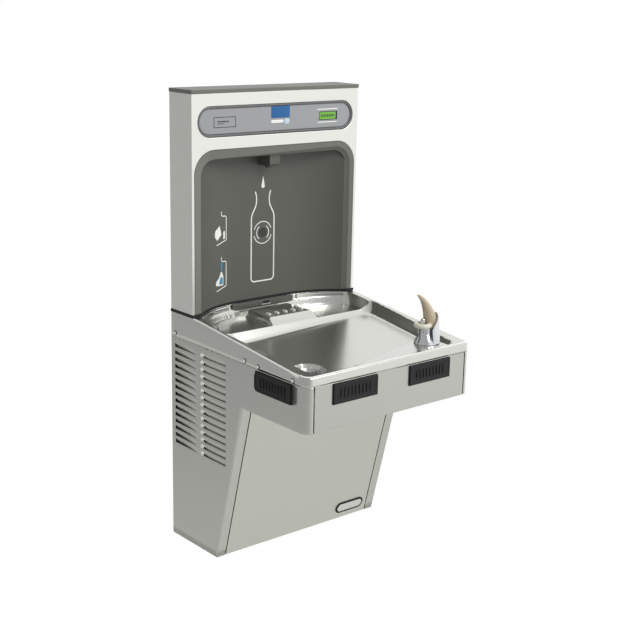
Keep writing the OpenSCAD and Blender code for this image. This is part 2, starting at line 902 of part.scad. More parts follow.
module drain_recess(grow) {
    at(-drain_x, drain_d, drain_z - grow) cylinder(h = rim_z - drain_z, r = drain_r + grow);
}

module basin() {
    color("gainsboro") difference() {
        union() {
            difference() {
                basin_block(0, skirt_z);
                basin_block(basin_t, skirt_z - over);
            }
            intersection() {
                union() {
                    front_bowl(basin_t);
                    rear_bowl(basin_t);
                    difference() {
                        drain_recess(basin_t);
                        above_floor(0);
                    }
                }
                basin_block(0, low_z - basin_t);
            }
        }
        front_bowl(0);
        rear_bowl(0);
        drain_recess(0);
        at(-drain_x, drain_d, low_z - over) cylinder(h = 4 * over, r = outlet_r);
        at(bubbler_x, bubbler_d, drain_z) cylinder(h = unit_w, r = locknut_hole_r);
        at(-riser_x, riser_d, skirt_z) cylinder(h = unit_w, r = water_r + seam_gap);
        for (x = [-1, 1], p = screw_places)
            at(x * half_w, p[0], p[1]) rotate([0, 90, 0])
                cylinder(h = 4 * over, r = shank_r + seam_gap, center = true);
    }
}

module bottle_platform() {
    slope = platform_z - shelf_z;
    rear_d = liner_back_d + 4 * over;
    color("silver") union() {
        at(0, 0, shelf_z) intersection() {
            side_slab([[rear_d, 0], [shelf_d - 1.5 * over, 0], [platform_d, slope], [rear_d, slope]],
                -half_w, unit_w);
            front_slab(0, unit_w) polygon([[-platform_w / 2 - over, 0], [-platform_w / 2, slope],
                [platform_w / 2, slope], [platform_w / 2 + over, 0]]);
        }
        for (i = [0 : platform_ribs - 1])
            block((i - (platform_ribs - 1) / 2) * platform_pitch, rear_d + over, platform_z,
                over, platform_d - rear_d - 4 * over, over / 2);
    }
}

// Waste

module drain_strainer() {
    color("silver") at(-drain_x, drain_d, drain_z + 2 * strainer_t) difference() {
        union() {
            cylinder(h = strainer_t, r = drain_r - seam_gap);
            translate([0, 0, -strainer_t]) cylinder(h = strainer_t, r = nut_r - over);
        }
        for (r = strainer_rings, a = [0 : hole_arc / r * 180 / PI : 359])
            rotate([0, 0, a]) translate([r, 0, -over]) cylinder(h = 2 * over, r = strainer_hole_r);
    }
}

module drain_tailpiece() {
    foot_z = waste_z + elbow_r + seam_gap;
    color("gray") at(-drain_x, drain_d, 0) difference() {
        union() {
            translate([0, 0, foot_z]) cylinder(h = drain_z + strainer_t - foot_z, r = waste_r);
            translate([0, 0, drain_z]) cylinder(h = strainer_t, r = nut_r);
            translate([0, 0, drain_z - basin_t - nut_h]) cylinder(h = nut_h - seam_gap, r = nut_r);
        }
        translate([0, 0, foot_z - over]) cylinder(h = unit_w, r = waste_r - waste_t);
    }
}

module waste_arm() {
    color("dimgray") difference() {
        union() {
            peg(-drain_x, 0, waste_z, waste_r, drain_d - elbow_r);
            waste_elbow(waste_r);
        }
        peg(-drain_x, -over, waste_z, waste_r - waste_t, drain_d - elbow_r + over + skin);
        waste_elbow(waste_r - waste_t);
    }
}

module waste_elbow(r) {
    at(-drain_x, drain_d - elbow_r, waste_z + elbow_r) rotate([0, 90, 0]) rotate([0, 0, -90])
        rotate_extrude(angle = 90) translate([elbow_r, 0]) circle(r = r);
}

// Bubbler

module bubbler_base() {
    r = bubbler_column_r;
    h = bubbler_column_h;
    color("silver") at(bubbler_x, bubbler_d, rim_z) difference() {
        union() {
            rotate_extrude() polygon([[0, 0], [bubbler_foot_r, 0], [bubbler_foot_r, h / 12],
                [r + h / 8, h / 4], [r, h / 2], [r, h], [0, h]]);
            translate([0, 0, -shank_depth]) cylinder(h = shank_depth + over, r = shank_w);
            rotate([0, 0, -60]) rotate_extrude(angle = 150)
                polygon([[r / 2, h / 24], [bubbler_foot_r - over / 2, h / 24],
                    [bubbler_foot_r - over, h - seam_gap], [r / 2, h - seam_gap]]);
        }
        translate([0, 0, -2 * shank_depth]) cylinder(h = 2 * shank_depth + h - over, r = water_r);
        translate([-guard_lean, 0, h - 2 * over]) cylinder(h = 3 * over, r = nozzle_r / 3);
        translate([-guard_lean, 0, h - 1.5 * over]) rotate([0, 90, 0])
            cylinder(h = guard_lean, r = nozzle_r / 4);
    }
}

module bubbler_locknut() {
    color("goldenrod") at(bubbler_x, bubbler_d, rim_z - basin_t - nut_h) difference() {
        cylinder(h = nut_h - over / 2, r = shank_w * 1.8, $fn = 6);
        translate([0, 0, -over]) cylinder(h = unit_w, r = shank_w + run_fit);
    }
}

module bubbler_guard() {
    foot = rim_z + bubbler_column_h + seam_gap;
    color("tan") difference() {
        union() {
            at(bubbler_x - guard_lean, bubbler_d, foot + guard_ring_t) rotate_extrude()
                translate([guard_ring_r, 0]) circle(r = guard_ring_t);
            intersection() {
                for (i = [0 : len(horn_shares) - 2])
                    hull() for (p = [horn_shares[i], horn_shares[i + 1]])
                        at(bubbler_x + p[0] * guard_h, bubbler_d, rim_z + p[1] * guard_h)
                            sphere(r = p[2] * guard_h, $fn = 28);
                at(0, 0, foot) translate([0, -spread, 0]) cube([spread, spread, spread]);
            }
        }
        at(bubbler_x - guard_lean, bubbler_d, foot - over)
            cylinder(h = 6 * guard_ring_t, r = nozzle_r + seam_gap);
    }
}

module bubbler_nozzle() {
    foot = rim_z + bubbler_column_h;
    color("silver") at(bubbler_x - guard_lean, bubbler_d, foot) difference() {
        union() {
            cylinder(h = 3 * guard_ring_t, r = nozzle_r);
            translate([0, 0, 3 * guard_ring_t]) sphere(r = nozzle_r);
        }
        translate([0, 0, -over]) cylinder(h = 4 * guard_ring_t, r = nozzle_r / 3);
    }
}

// Push pads, told in a frame whose -Y faces the user and whose origin is on the cover's face

module push_pad() {
    face = pad_rib_h - pad_out;
    color("black") union() {
        translate([-pad_w / 2, face, -pad_h / 2]) cube([pad_w, pad_hold_y - face, pad_h]);
        translate([-pad_w / 2 - pad_hold, pad_hold_y, -pad_h / 2 - pad_hold])
            cube([pad_w + 2 * pad_hold, pad_hold_t, pad_h + pad_hold + pad_hold_t / 2]);
        for (i = [0 : pad_ribs - 1])
            translate([(i - (pad_ribs - 1) / 2) * pad_w / (pad_ribs + 2) - pad_rib_w / 2, -pad_out,
                -pad_h / 4]) cube([pad_rib_w, pad_rib_h, pad_h / 2]);
        translate([0, pad_hold_y, stem_z]) rotate([-90, 0, 0])
            cylinder(h = stem_end - pad_hold_y, r = stem_r);
    }
}

module pad_spring() {
    foot = pad_hold_y + pad_hold_t + seam_gap;
    color("gainsboro") translate([0, foot, stem_z]) rotate([-90, 0, 0]) difference() {
        cylinder(h = bracket_y - seam_gap - foot, r = spring_r);
        translate([0, 0, -over]) cylinder(h = unit_w, r = spring_r - spring_t);
    }
}

module pad_bracket() {
    tail_z = stem_z - switch_w / 2 - bracket_t;
    tail_y = switch_y + switch_l + bracket_t;
    difference() {
        union() {
            translate([-bracket_x, bracket_y, stem_z - bracket_h / 2])
                cube([2 * bracket_x, bracket_t, bracket_h]);
            for (x = [-1, 1])
                translate([x * (bracket_x - bracket_t / 2) - bracket_t / 2, panel_t,
                    stem_z - bracket_h / 2]) cube([bracket_t, bracket_y - panel_t, bracket_h]);
            translate([-switch_w / 2, bracket_y, tail_z]) cube([switch_w, tail_y - bracket_y, bracket_t]);
            translate([0, bracket_y, stem_z]) rotate([-90, 0, 0])
                cylinder(h = bracket_t + boss_l, r = boss_r);
        }
        translate([0, 0, stem_z]) rotate([-90, 0, 0]) cylinder(h = unit_w, r = stem_r + run_fit);
    }
}

module pad_switch() {
    translate([0, switch_y, stem_z]) difference() {
        translate([-switch_w / 2, 0, -switch_w / 2]) cube([switch_w, switch_l, switch_w]);
        translate([0, -over, 0]) rotate([-90, 0, 0])
            cylinder(h = over + pad_travel + button_l / 2, r = button_r + run_fit);
    }
}

module pad_button() {
    color("red") translate([0, stem_end + seam_gap, stem_z]) rotate([-90, 0, 0])
        cylinder(h = button_l, r = button_r);
}

module on_front_left() {
    at(-pad_x, apron_d, pad_z) children();
}

module on_front_right() {
    at(pad_x, apron_d, pad_z) children();
}

module on_left() {
    at(-half_w, pad_d, pad_z) rotate([0, 0, -90]) children();
}

module on_right() {
    at(half_w, pad_d, pad_z) rotate([0, 0, 90]) children();
}

module front_left_pad() { on_front_left() push_pad(); }
module front_right_pad() { on_front_right() push_pad(); }
module left_pad() { on_left() push_pad(); }
module right_pad() { on_right() push_pad(); }
module front_left_spring() { on_front_left() pad_spring(); }
module front_right_spring() { on_front_right() pad_spring(); }
module left_spring() { on_left() pad_spring(); }
module right_spring() { on_right() pad_spring(); }
module front_left_button() { on_front_left() pad_button(); }
module front_right_button() { on_front_right() pad_button(); }
module left_button() { on_left() pad_button(); }
module right_button() { on_right() pad_button(); }

module pad_brackets() {
    color("silver") union() {
        on_front_left() pad_bracket();
        on_front_right() pad_bracket();
        on_left() pad_bracket();
        on_right() pad_bracket();
    }
}

module pad_switches() {
    color("dimgray") union() {
        on_front_left() pad_switch();
        on_front_right() pad_switch();
        on_left() pad_switch();
        on_right() pad_switch();
    }
}

module cabinet_screws() {
    color("silver") for (x = [-1, 1], p = screw_places)
        at(x * half_w, p[0], p[1]) rotate([0, x * 90, 0]) {
            cylinder(h = screw_h, r = screw_r);
            translate([0, 0, -shank_l]) cylinder(h = shank_l + screw_h / 2, r = shank_r);
        }
}

// Cooling and water

module compressor() {
    dome = compressor_r / 2;
    foot_z = panel_t + grommet_h;
    color("dimgray") union() {
        at(-compressor_x, compressor_d, foot_z + foot_t / 2) rotate_extrude() {
            square([compressor_r, compressor_h - foot_t - dome]);
            square([compressor_r - dome, compressor_h - foot_t]);
            translate([compressor_r - dome, compressor_h - foot_t - dome]) intersection() {
                circle(r = dome);
                square(dome);
            }
        }
        for (a = [90 : 120 : 330]) at(-compressor_x, compressor_d, 0) rotate([0, 0, a])
            translate([grommet_reach, 0, 0]) {
                translate([0, 0, foot_z]) cylinder(h = foot_t, r = grommet_r);
                translate([0, 0, panel_t]) cylinder(h = grommet_h, r = grommet_r - foot_t);
            }
        for (x = [-1, 1]) at(x * stub_x - compressor_x, compressor_d, compressor_h - dome)
            cylinder(h = stub_z - compressor_h + dome, r = evap_r * 1.5);
    }
}

// Height of a pass of the condenser's tube
function pass_z(i) = condenser_z0 + (i + 0.5) * condenser_h / coil_passes;

module condenser_coil() {
    last = coil_passes - 1;
    near_d = condenser_d0 + 2 * over;
    far_d = condenser_d0 + condenser_len - coil_r - over;
    fin_pitch = (far_d - near_d - 4 * over) / (fin_count - 1);
    color("peru") union() {
        pipe([for (i = [0 : last], end = [0, 1])
            let (out = (i + end) % 2 == 1, first = i == 0 && end == 0, final = i == last && end == 1)
            [-condenser_x, -(first || final ? condenser_d0 : out ? far_d : near_d), pass_z(i)]],
            coil_r);
        for (i = [0 : fin_count - 1])
            block(-condenser_x, near_d + 2 * over + i * fin_pitch - fin_t / 2, condenser_z0,
                condenser_w, fin_t, condenser_h);
    }
}

module fan_shroud() {
    near_x = condenser_x - condenser_w / 2;
    color("gray") difference() {
        union() {
            side_slab([[panel_t, condenser_z0], [condenser_d0 + condenser_len, condenser_z0],
                [condenser_d0 + condenser_len, condenser_z0 + condenser_h],
                [panel_t, condenser_z0 + condenser_h]], -near_x + over, shroud_t);
            for (z = [condenser_z0, condenser_z0 + condenser_h - shroud_t])
                block(over / 2 - near_x, condenser_d0, z, over, condenser_len, shroud_t);
        }
        at(-near_x, fan_d, fan_z) rotate([0, 90, 0]) cylinder(h = 4 * over, r = fan_r + over / 2);
    }
}

module fan_motor() {
    reach = fan_r + 2 * over;
    shroud_face = condenser_x - condenser_w / 2 - over - shroud_t;
    color("dimgray") difference() {
        union() {
            at(-motor_x, fan_d, fan_z) rotate([0, 90, 0]) cylinder(h = motor_l, r = motor_r);
            for (a = [-1, 1]) {
                block(-motor_x + 2 * over, fan_d + min(0, a * reach), fan_z - over,
                    bar_t, reach, 2 * over);
                block((2 * over + bar_t / 2 - motor_x - shroud_face) / 2,
                    fan_d + a * (reach - bar_t / 2) - bar_t / 2, fan_z - over,
                    shroud_face - motor_x + 2 * over + bar_t / 2, bar_t, 2 * over);
            }
        }
        at(-motor_x - over, fan_d, fan_z) rotate([0, 90, 0])
            cylinder(h = motor_l / 2 + over, r = shaft_r + run_fit);
    }
}

module fan_blade() {
    color("black") at(-fan_x, fan_d, fan_z) union() {
        rotate([0, 90, 0]) cylinder(h = hub_l, r = hub_r, center = true);
        rotate([0, 90, 0]) cylinder(h = fan_x - motor_x + motor_l / 3, r = shaft_r);
        for (a = [0 : 360 / fan_blades : 359]) rotate([a, 0, 0]) translate([0, 0, hub_r - over / 2])
            rotate([0, 0, 60]) translate([-blade_w / 2, -blade_t / 2, 0])
                cube([blade_w, blade_t, fan_r - hub_r]);
    }
}

// Points of the evaporator's winding round the tank
function evap_points() = [for (i = [0 : evap_turns * 24])
    [-(tank_r + evap_r) * cos(i * 15), (tank_r + evap_r) * sin(i * 15), i * evap_pitch / 24]];

// A ring of six corners about a point of the winding
function evap_ring(i, p) = [for (k = [0 : 5])
    let (c = evap_r * 0.94 * cos(60 * k), s = evap_r * 0.94 * sin(60 * k))
    [p[0] - c * cos(i * 15), p[1] + c * sin(i * 15), p[2] + s]];

module evaporator() {
    points = evap_points();
    n = len(points);
    polyhedron(
        points = [for (i = [0 : n - 1]) each evap_ring(i, points[i])],
        faces = [
            [for (k = [0 : 5]) k],
            [for (k = [5 : -1 : 0]) 6 * (n - 1) + k],
            for (i = [0 : n - 2], k = [0 : 5]) let (a = 6 * i + k, b = 6 * i + (k + 1) % 6)
                each [[a, a + 6, b], [b, a + 6, b + 6]]
        ],
        convexity = 10
    );
}

module cooling_tank() {
    color("lightgray") at(tank_x, tank_d, tank_z) union() {
        cylinder(h = tank_h, r = tank_r);
        translate([0, 0, tank_h]) cylinder(h = over, r1 = tank_r, r2 = tank_r - over);
        translate([0, 0, 3 * over]) evaporator();
    }
}

module water_filter() {
    head_z = filter_z + filter_h + seam_gap;
    color("aliceblue") union() {
        at(0, filter_d, filter_z) rotate_extrude() {
            translate([0, filter_r / 3]) square([filter_r, filter_h - filter_r / 3]);
            square([filter_r * 0.66, filter_r]);
        }
        at(0, filter_d, filter_z + filter_h) cylinder(h = over, r = filter_r / 2);
        block(0, filter_d - filter_r - bar_t, head_z, 2 * (filter_r + bar_t),
            2 * (filter_r + bar_t), head_h);
        block(0, panel_t, head_z, filter_r, filter_d - filter_r - panel_t, head_h);
    }
}

module control_box() {
    color("gray") union() {
        block(tank_x, panel_t, box_z, box_w, box_d, box_h);
        peg(tank_x - box_w / 4, panel_t + box_d, box_z + box_h / 2, 2 * screw_r, over);
    }
}

module refrigerant_lines() {
    rear = condenser_d0 - 2 * over;
    cross_z = condenser_z0 + condenser_h + 2 * over;
    down_x = filter_r + 2.2 * over;
    suction_d = filter_d + filter_r + 4 * over;
    low = filter_z - 4 * over;
    last = coil_passes - 1;
    color("peru") union() {
        pipe([[-compressor_x - stub_x, -compressor_d, stub_z],
            [-compressor_x - stub_x, -compressor_d, line_z], [-compressor_x - stub_x, -rear, line_z],
            [-condenser_x, -rear, line_z], [-condenser_x, -rear, pass_z(0)],
            [-condenser_x, -condenser_d0, pass_z(0)]], evap_r);
        pipe([[-condenser_x, -condenser_d0, pass_z(last)], [-condenser_x, -rear, pass_z(last)],
            [-condenser_x, -rear, cross_z], [-condenser_x, -box_d, cross_z],
            [-down_x, -box_d, cross_z], [-down_x, -riser_d - 5 * over, cross_z],
            [-down_x, -riser_d - 5 * over, low], [drier_x, -riser_d - 5 * over, low],
            [drier_x, -drier_d, low], [drier_x, -drier_d, drier_z]], evap_r);
        at(drier_x, drier_d, drier_z) cylinder(h = drier_h, r = drier_r);
        pipe([[drier_x, -drier_d, drier_z + drier_h], [drier_x, -drier_d, tank_z + 3 * over],
            [drier_x, -tank_d, tank_z + 3 * over],
            [tank_x - tank_r - 2 * evap_r, -tank_d, tank_z + 3 * over]], evap_r);
        pipe([[tank_x - tank_r - 2 * evap_r, -tank_d, evap_top], [inlet_x - over, -tank_d, evap_top],
            [inlet_x - over, -suction_d, evap_top], [inlet_x - over, -suction_d, line_z],
            [stub_x - compressor_x, -suction_d, line_z],
            [stub_x - compressor_x, -compressor_d, line_z],
            [stub_x - compressor_x, -compressor_d, stub_z]], evap_r);
    }
}

module water_lines() {
    head_side = filter_r + bar_t;
    port_z = filter_z + filter_h + head_h / 2;
    feed_z = valve_z + valve_h / 2;
    color("white") union() {
        elbowed([[inlet_x, 0, inlet_z], [inlet_x, -filter_d, inlet_z],
            [head_side, -filter_d, inlet_z]], water_r);
        elbowed([[-head_side, -filter_d, inlet_z], [-riser_x, -filter_d, inlet_z],
            [-riser_x, -riser_d, inlet_z], [-riser_x, -riser_d, feed_z],
            [-riser_x, -valve_d, feed_z], [-valve_w / 2, -valve_d, feed_z]], water_r);
        elbowed([[0, -filter_d - head_side, port_z], [0, -tank_d, port_z],
            [tank_x - tank_r, -tank_d, port_z]], water_r);
        elbowed([[bubbler_x, -tank_d, tank_z + tank_h + over], [bubbler_x, -tank_d, drink_z],
            [bubbler_x, -bubbler_d, drink_z], [bubbler_x, -bubbler_d, rim_z - shank_depth]],
            water_r);
        at(0, valve_d, inner_z - nozzle_h + 2 * over)
            cylinder(h = valve_z - inner_z + nozzle_h - 2 * over, r = water_r);
    }
}

filler_casing();
top_cap();
alcove_liner();
filler_gasket();
filler_back_plate();
nozzle_housing();
aerator();
fascia_trim();
fascia_panel();
display_window();
display_board();
fascia_badge();
sensor_lens();
sensor_module();
filler_valve_body();
filler_valve_coil();
filler_plunger();
filler_plunger_spring();
left_side_panel();
right_side_panel();
front_apron();
front_panel();
cabinet_back();
base_pan();
hanger_bracket();
badge_plate();
basin();
bottle_platform();
drain_strainer();
drain_tailpiece();
waste_arm();
cabinet_screws();
bubbler_base();
bubbler_guard();
bubbler_nozzle();
bubbler_locknut();
front_left_pad();
front_right_pad();
left_pad();
right_pad();
front_left_spring();
front_right_spring();
left_spring();
right_spring();
front_left_button();
front_right_button();
left_button();
right_button();
pad_brackets();
pad_switches();
compressor();
condenser_coil();
fan_shroud();
fan_motor();
fan_blade();
cooling_tank();
water_filter();
control_box();
refrigerant_lines();
water_lines();
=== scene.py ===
"""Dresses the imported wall-mounted bottle filling station for a studio photograph."""

import json
import logging
import math
from dataclasses import dataclass, field
from enum import Enum
from typing import Any, Optional, Sequence, Union

import bmesh
import bpy
import numpy as np
from mathutils import Matrix, Vector

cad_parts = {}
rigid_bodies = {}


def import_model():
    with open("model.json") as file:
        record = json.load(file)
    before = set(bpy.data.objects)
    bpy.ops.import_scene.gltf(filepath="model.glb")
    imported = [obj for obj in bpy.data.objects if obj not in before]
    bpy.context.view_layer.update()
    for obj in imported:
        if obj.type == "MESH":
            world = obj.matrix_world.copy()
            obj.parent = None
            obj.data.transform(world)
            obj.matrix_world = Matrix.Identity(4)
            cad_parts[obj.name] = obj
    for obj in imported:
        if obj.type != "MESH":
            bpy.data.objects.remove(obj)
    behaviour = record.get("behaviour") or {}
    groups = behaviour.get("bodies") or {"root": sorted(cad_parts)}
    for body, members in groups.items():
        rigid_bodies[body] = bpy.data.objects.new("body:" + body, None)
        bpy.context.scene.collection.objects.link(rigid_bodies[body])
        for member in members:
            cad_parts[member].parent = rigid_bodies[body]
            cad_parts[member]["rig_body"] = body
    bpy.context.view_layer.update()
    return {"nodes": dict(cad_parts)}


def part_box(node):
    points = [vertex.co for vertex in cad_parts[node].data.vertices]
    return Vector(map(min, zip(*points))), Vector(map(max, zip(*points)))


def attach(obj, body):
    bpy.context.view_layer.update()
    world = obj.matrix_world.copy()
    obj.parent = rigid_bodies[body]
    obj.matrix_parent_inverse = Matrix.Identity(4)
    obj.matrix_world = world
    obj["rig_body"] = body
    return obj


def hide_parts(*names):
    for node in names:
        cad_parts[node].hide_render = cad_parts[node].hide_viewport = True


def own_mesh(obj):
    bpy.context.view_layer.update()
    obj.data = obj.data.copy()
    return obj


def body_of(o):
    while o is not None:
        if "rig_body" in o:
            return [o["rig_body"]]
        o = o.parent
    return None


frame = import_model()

MM = 0.001
ROOT = "cabinet"
SHARP = math.radians(32)
Array = np.ndarray
log = logging.getLogger("station")


class Side(Enum):
    """The two sides of the unit, as seen by a person who faces it."""

    LEFT = -1
    RIGHT = 1


class Grain(Enum):
    """The direction in which a sheet was brushed, as the axis that the scratches follow."""

    ACROSS = 0
    DEEP = 1
    UP = 2


def linear(colour: str) -> tuple[float, ...]:
    """Turns an sRGB hex colour to the linear colour that shaders take.

    Args:
        colour: six hex digits after a hash.

    Returns:
        Red, green, blue and an alpha of one.
    """
    srgb = np.array([int(colour[i : i + 2], 16) for i in (1, 3, 5)]) / 255
    light = np.where(srgb <= 0.04045, srgb / 12.92, ((srgb + 0.055) / 1.055) ** 2.4)
    return (*map(float, light), 1.0)


def add_node(tree: Any, kind: str, inputs: Optional[dict] = None, **settings: Any) -> Any:
    """Adds a node to a tree, with its settings and links.

    Args:
        tree: the node tree.
        kind: the node's type name.
        inputs: input name or index to a value, or to the output socket that feeds it.
        settings: the node's own attributes.

    Returns:
        The new node.
    """
    node = tree.nodes.new(kind)
    for name, value in settings.items():
        setattr(node, name, value)
    for name, value in (inputs or {}).items():
        if isinstance(value, bpy.types.NodeSocket):
            tree.links.new(value, node.inputs[name])
        else:
            node.inputs[name].default_value = value
    return node


# Finishes


@dataclass(frozen=True)
class Finish:
    """A surface with a fine noise in its tone, gloss and relief.

    The noise cell is given in millimetres along X, Y and Z, so a long cell draws scratches.
    """

    name: str
    colour: str
    roughness: float
    metallic: float = 0.0
    cell: tuple[float, float, float] = (1.0, 1.0, 1.0)
    tone: float = 0.06
    haze: float = 0.05
    relief: float = 0.02
    coat: float = 0.0

    def pattern(self, tree: Any, place: Any) -> Any:
        """Gives the factor that varies over the surface, here a three-dimensional noise.

        Args:
            tree: the material's node tree.
            place: the socket that gives the place on the object.

        Returns:
            The output socket of the factor, from zero to one.
        """
        scaled = add_node(
            tree,
            "ShaderNodeMapping",
            {"Vector": place, "Scale": tuple(1 / (c * MM) for c in self.cell)},
        )
        noise = add_node(
            tree, "ShaderNodeTexNoise", {"Vector": scaled.outputs[0], "Scale": 1.0, "Detail": 3.0}
        )
        return noise.outputs[0]

    def material(self) -> Any:
        """Makes the material once, and gives the same one back after that.

        Returns:
            The material.
        """
        made = bpy.data.materials.get(self.name)
        if made:
            return made
        made = bpy.data.materials.new(self.name)
        made.use_nodes = True
        tree = made.node_tree
        tree.nodes.clear()
        place = add_node(tree, "ShaderNodeTexCoord").outputs["Object"]
        factor = self.pattern(tree, place)
        base = linear(self.colour)
        dark = tuple(c * (1 - self.tone) for c in base[:3]) + (1.0,)
        light = tuple(min(1.0, c * (1 + self.tone)) for c in base[:3]) + (1.0,)
        tint = add_node(tree, "ShaderNodeMix", {0: factor, 6: dark, 7: light}, data_type="RGBA")
        gloss = add_node(
            tree,
            "ShaderNodeMapRange",
            {
                "Value": factor,
                "From Min": 0.25,
                "From Max": 0.75,
                "To Min": max(0.02, self.roughness - self.haze),
                "To Max": min(1.0, self.roughness + self.haze),
            },
        )
        bump = add_node(
            tree,
            "ShaderNodeBump",
            {"Strength": 1.0, "Distance": self.relief * MM, "Height": factor},
        )
        shader = add_node(
            tree,
            "ShaderNodeBsdfPrincipled",
            {
                "Base Color": tint.outputs[2],
                "Roughness": gloss.outputs[0],
                "Metallic": self.metallic,
                "Normal": bump.outputs[0],
                "Coat Weight": self.coat,
            },
        )
        self.finish_shader(tree, shader, factor)
        add_node(tree, "ShaderNodeOutputMaterial", {"Surface": shader.outputs[0]})
        return made

    def finish_shader(self, tree: Any, shader: Any, factor: Any) -> None:
        """Leaves the shader as it is; other finishes add to it here."""


@dataclass(frozen=True)
class Spangled(Finish):
    """Hot-dip zinc, whose crystals show as flat patches of slightly different grey."""

    def pattern(self, tree: Any, place: Any) -> Any:
        """Gives each crystal its own grey with a Voronoi pattern of the crystal's size.

        Args:
            tree: the material's node tree.
            place: the socket that gives the place on the piece.

        Returns:
            The socket that gives the pattern's value.
        """
        cells = add_node(
            tree, "ShaderNodeTexVoronoi", {"Vector": place, "Scale": 1 / (self.cell[0] * MM)}
        )
        grey = add_node(tree, "ShaderNodeRGBToBW", {"Color": cells.outputs["Color"]})
        return grey.outputs[0]


@dataclass(frozen=True)
class Lit(Finish):
    """A lit display film, which glows a little by itself."""

    glow: float = 0.35

    def finish_shader(self, tree: Any, shader: Any, factor: Any) -> None:
        """Adds the glow in the film's own colour."""
        shader.inputs["Emission Color"].default_value = linear(self.colour)
        shader.inputs["Emission Strength"].default_value = self.glow


def brushed(name: str, colour: str, grain: Grain, roughness: float = 0.27) -> Finish:
    """Brushed stainless sheet: scratches 1 mm apart and 60 mm long along the grain.

    The real ones lie 0.1 mm apart; they are drawn coarser so that they show.

    Args:
        name: the material's name.
        colour: the metal's colour.
        grain: the axis that the scratches follow.
        roughness: how wide the highlights spread.

    Returns:
        The finish.
    """
    cell = tuple(60.0 if axis == grain.value else 1.0 for axis in range(3))
    return Finish(name, colour, roughness, 1.0, cell, tone=0.025, haze=0.03, relief=0.004)


# Light stainless sheet of the filler casing, brushed upwards and nearly white in the light
CASING = brushed("stainless_casing_brushed", "#ECECE6", Grain.UP, 0.32)
# Stainless sheet of the lower cabinet, brushed across, a warm middle grey
CABINET = brushed("stainless_cabinet_brushed", "#C2C3BD", Grain.ACROSS, 0.34)
# The sloped front leans over the floor and gets less light, so its sheet is a lighter copy of the
# same brushing: painted light
CABINET_FRONT_LIGHTENED = brushed("stainless_front_brushed_painted_light", "#D6D7CF", Grain.ACROSS, 0.36)
CABINET_SIDE = brushed("stainless_cabinet_side_brushed", "#CFD0CA", Grain.UP, 0.36)
# Drawn stainless basin, polished finer than the cabinet, so it mirrors the alcove
BASIN = brushed("stainless_basin_satin", "#DADAD5", Grain.ACROSS, 0.2)
# The near-white band along the basin's rim is a painted highlight, in a matte finish that scatters
# the light
RIM_HIGHLIGHT = Finish("stainless_rim_painted_highlight", "#FAFAF6", 0.5, 0.0, (1, 1, 1), 0.02, 0.06, 0.01)
# Near-white mirror steel on the hood ends and the screw heads: a painted glint, brighter than the
# sheet round it, that mirrors the bright side of the room
GLINT_STEEL = Finish("stainless_painted_glint", "#FCFCF9", 0.1, 1.0, (1, 1, 1), 0.02, 0.04, 0.002)
# Buffed stainless: a mirror with long fine streaks
POLISHED = Finish("stainless_polished", "#E6E6E2", 0.12, 1.0, (20, 1, 1), 0.02, 0.03, 0.002)
# Chrome plate: a sharp mirror with hardly any haze
CHROME = Finish("chrome_plated", "#E4E6E8", 0.05, 1.0, (9, 9, 9), 0.01, 0.02, 0.001)
# Hot-dip zinc: crystals about 9 mm wide in slightly different greys
GALVANISED = Spangled("steel_hot_dip_galvanised", "#A9ACAD", 0.42, 1.0, (9, 9, 9), 0.14, 0.1, 0.004)
# Moulded ABS with a fine spark-eroded grain, which dulls its gloss
ALCOVE = Finish("abs_alcove_moulded", "#5A5B54", 0.48, 0.0, (0.9, 0.9, 0.9), 0.03, 0.05, 0.02)
BEZEL = Finish("abs_bezel_moulded", "#76776F", 0.42, 0.0, (0.9, 0.9, 0.9), 0.03, 0.05, 0.02)
CAP = Finish("abs_cap_moulded", "#6F6F69", 0.45, 0.0, (0.9, 0.9, 0.9), 0.04, 0.05, 0.02)
TRIM = Finish("abs_trim_moulded", "#6E6F70", 0.35, 0.0, (0.9, 0.9, 0.9), 0.03, 0.05, 0.015)
# Acetal and polypropylene mouldings: a waxy surface with soft highlights
VALVE = Finish("acetal_valve_moulded", "#D9D9D2", 0.5, 0.0, (1.2, 1.2, 1.2), 0.03, 0.05, 0.02)
WASTE = Finish(
    "polypropylene_pipe_moulded", "#7C7E80", 0.55, 0.0, (1.5, 1.5, 1.5), 0.05, 0.06, 0.03
)
# Plated shell behind the spout, with fine upright draw marks; its bright, milky tone is a painted
# highlight where the guard's back catches the light
SHELL_HIGHLIGHT = Finish("abs_shell_plated_painted_highlight", "#E1E3E8", 0.22, 0.15, (1.5, 1.5, 40), 0.04, 0.05, 0.004, 0.4)
# Smooth pegs whose near-white colour is a painted highlight: small white dots where they catch the
# light
PEG_GLINT = Finish("peg_painted_glint", "#E9E9E4", 0.35, 0.0, (1, 1, 1), 0.03, 0.05, 0.01)
# Small mouldings inside the cabinet: dull, with a fine tool grain
SWITCH = Finish("nylon_switch_moulded", "#4E5052", 0.5, 0.0, (1, 1, 1), 0.05, 0.05, 0.02)
BUTTON = Finish("abs_button_moulded", "#A52A22", 0.4, 0.0, (1, 1, 1), 0.05, 0.05, 0.02)
FAN = Finish("nylon_fan_moulded", "#1B1B1C", 0.45, 0.0, (1.5, 1.5, 1.5), 0.1, 0.06, 0.02)
FILTER = Finish(
    "polypropylene_filter_moulded", "#D7E2EE", 0.4, 0.0, (1.5, 1.5, 1.5), 0.03, 0.05, 0.02
)
# Extruded tube: die lines that run along it
TUBE = Finish("polyethylene_tube_extruded", "#E8E8E4", 0.42, 0.0, (1, 30, 1), 0.03, 0.05, 0.01)
# The spout's flexible guard is soft and dull, its hard collar a little glossier
GUARD = Finish("elastomer_guard_moulded", "#C6B79C", 0.5, 0.0, (1.5, 1.5, 1.5), 0.05, 0.06, 0.03)
COLLAR = Finish("abs_collar_moulded", "#E4E0D2", 0.35, 0.0, (1.5, 1.5, 1.5), 0.04, 0.05, 0.02)
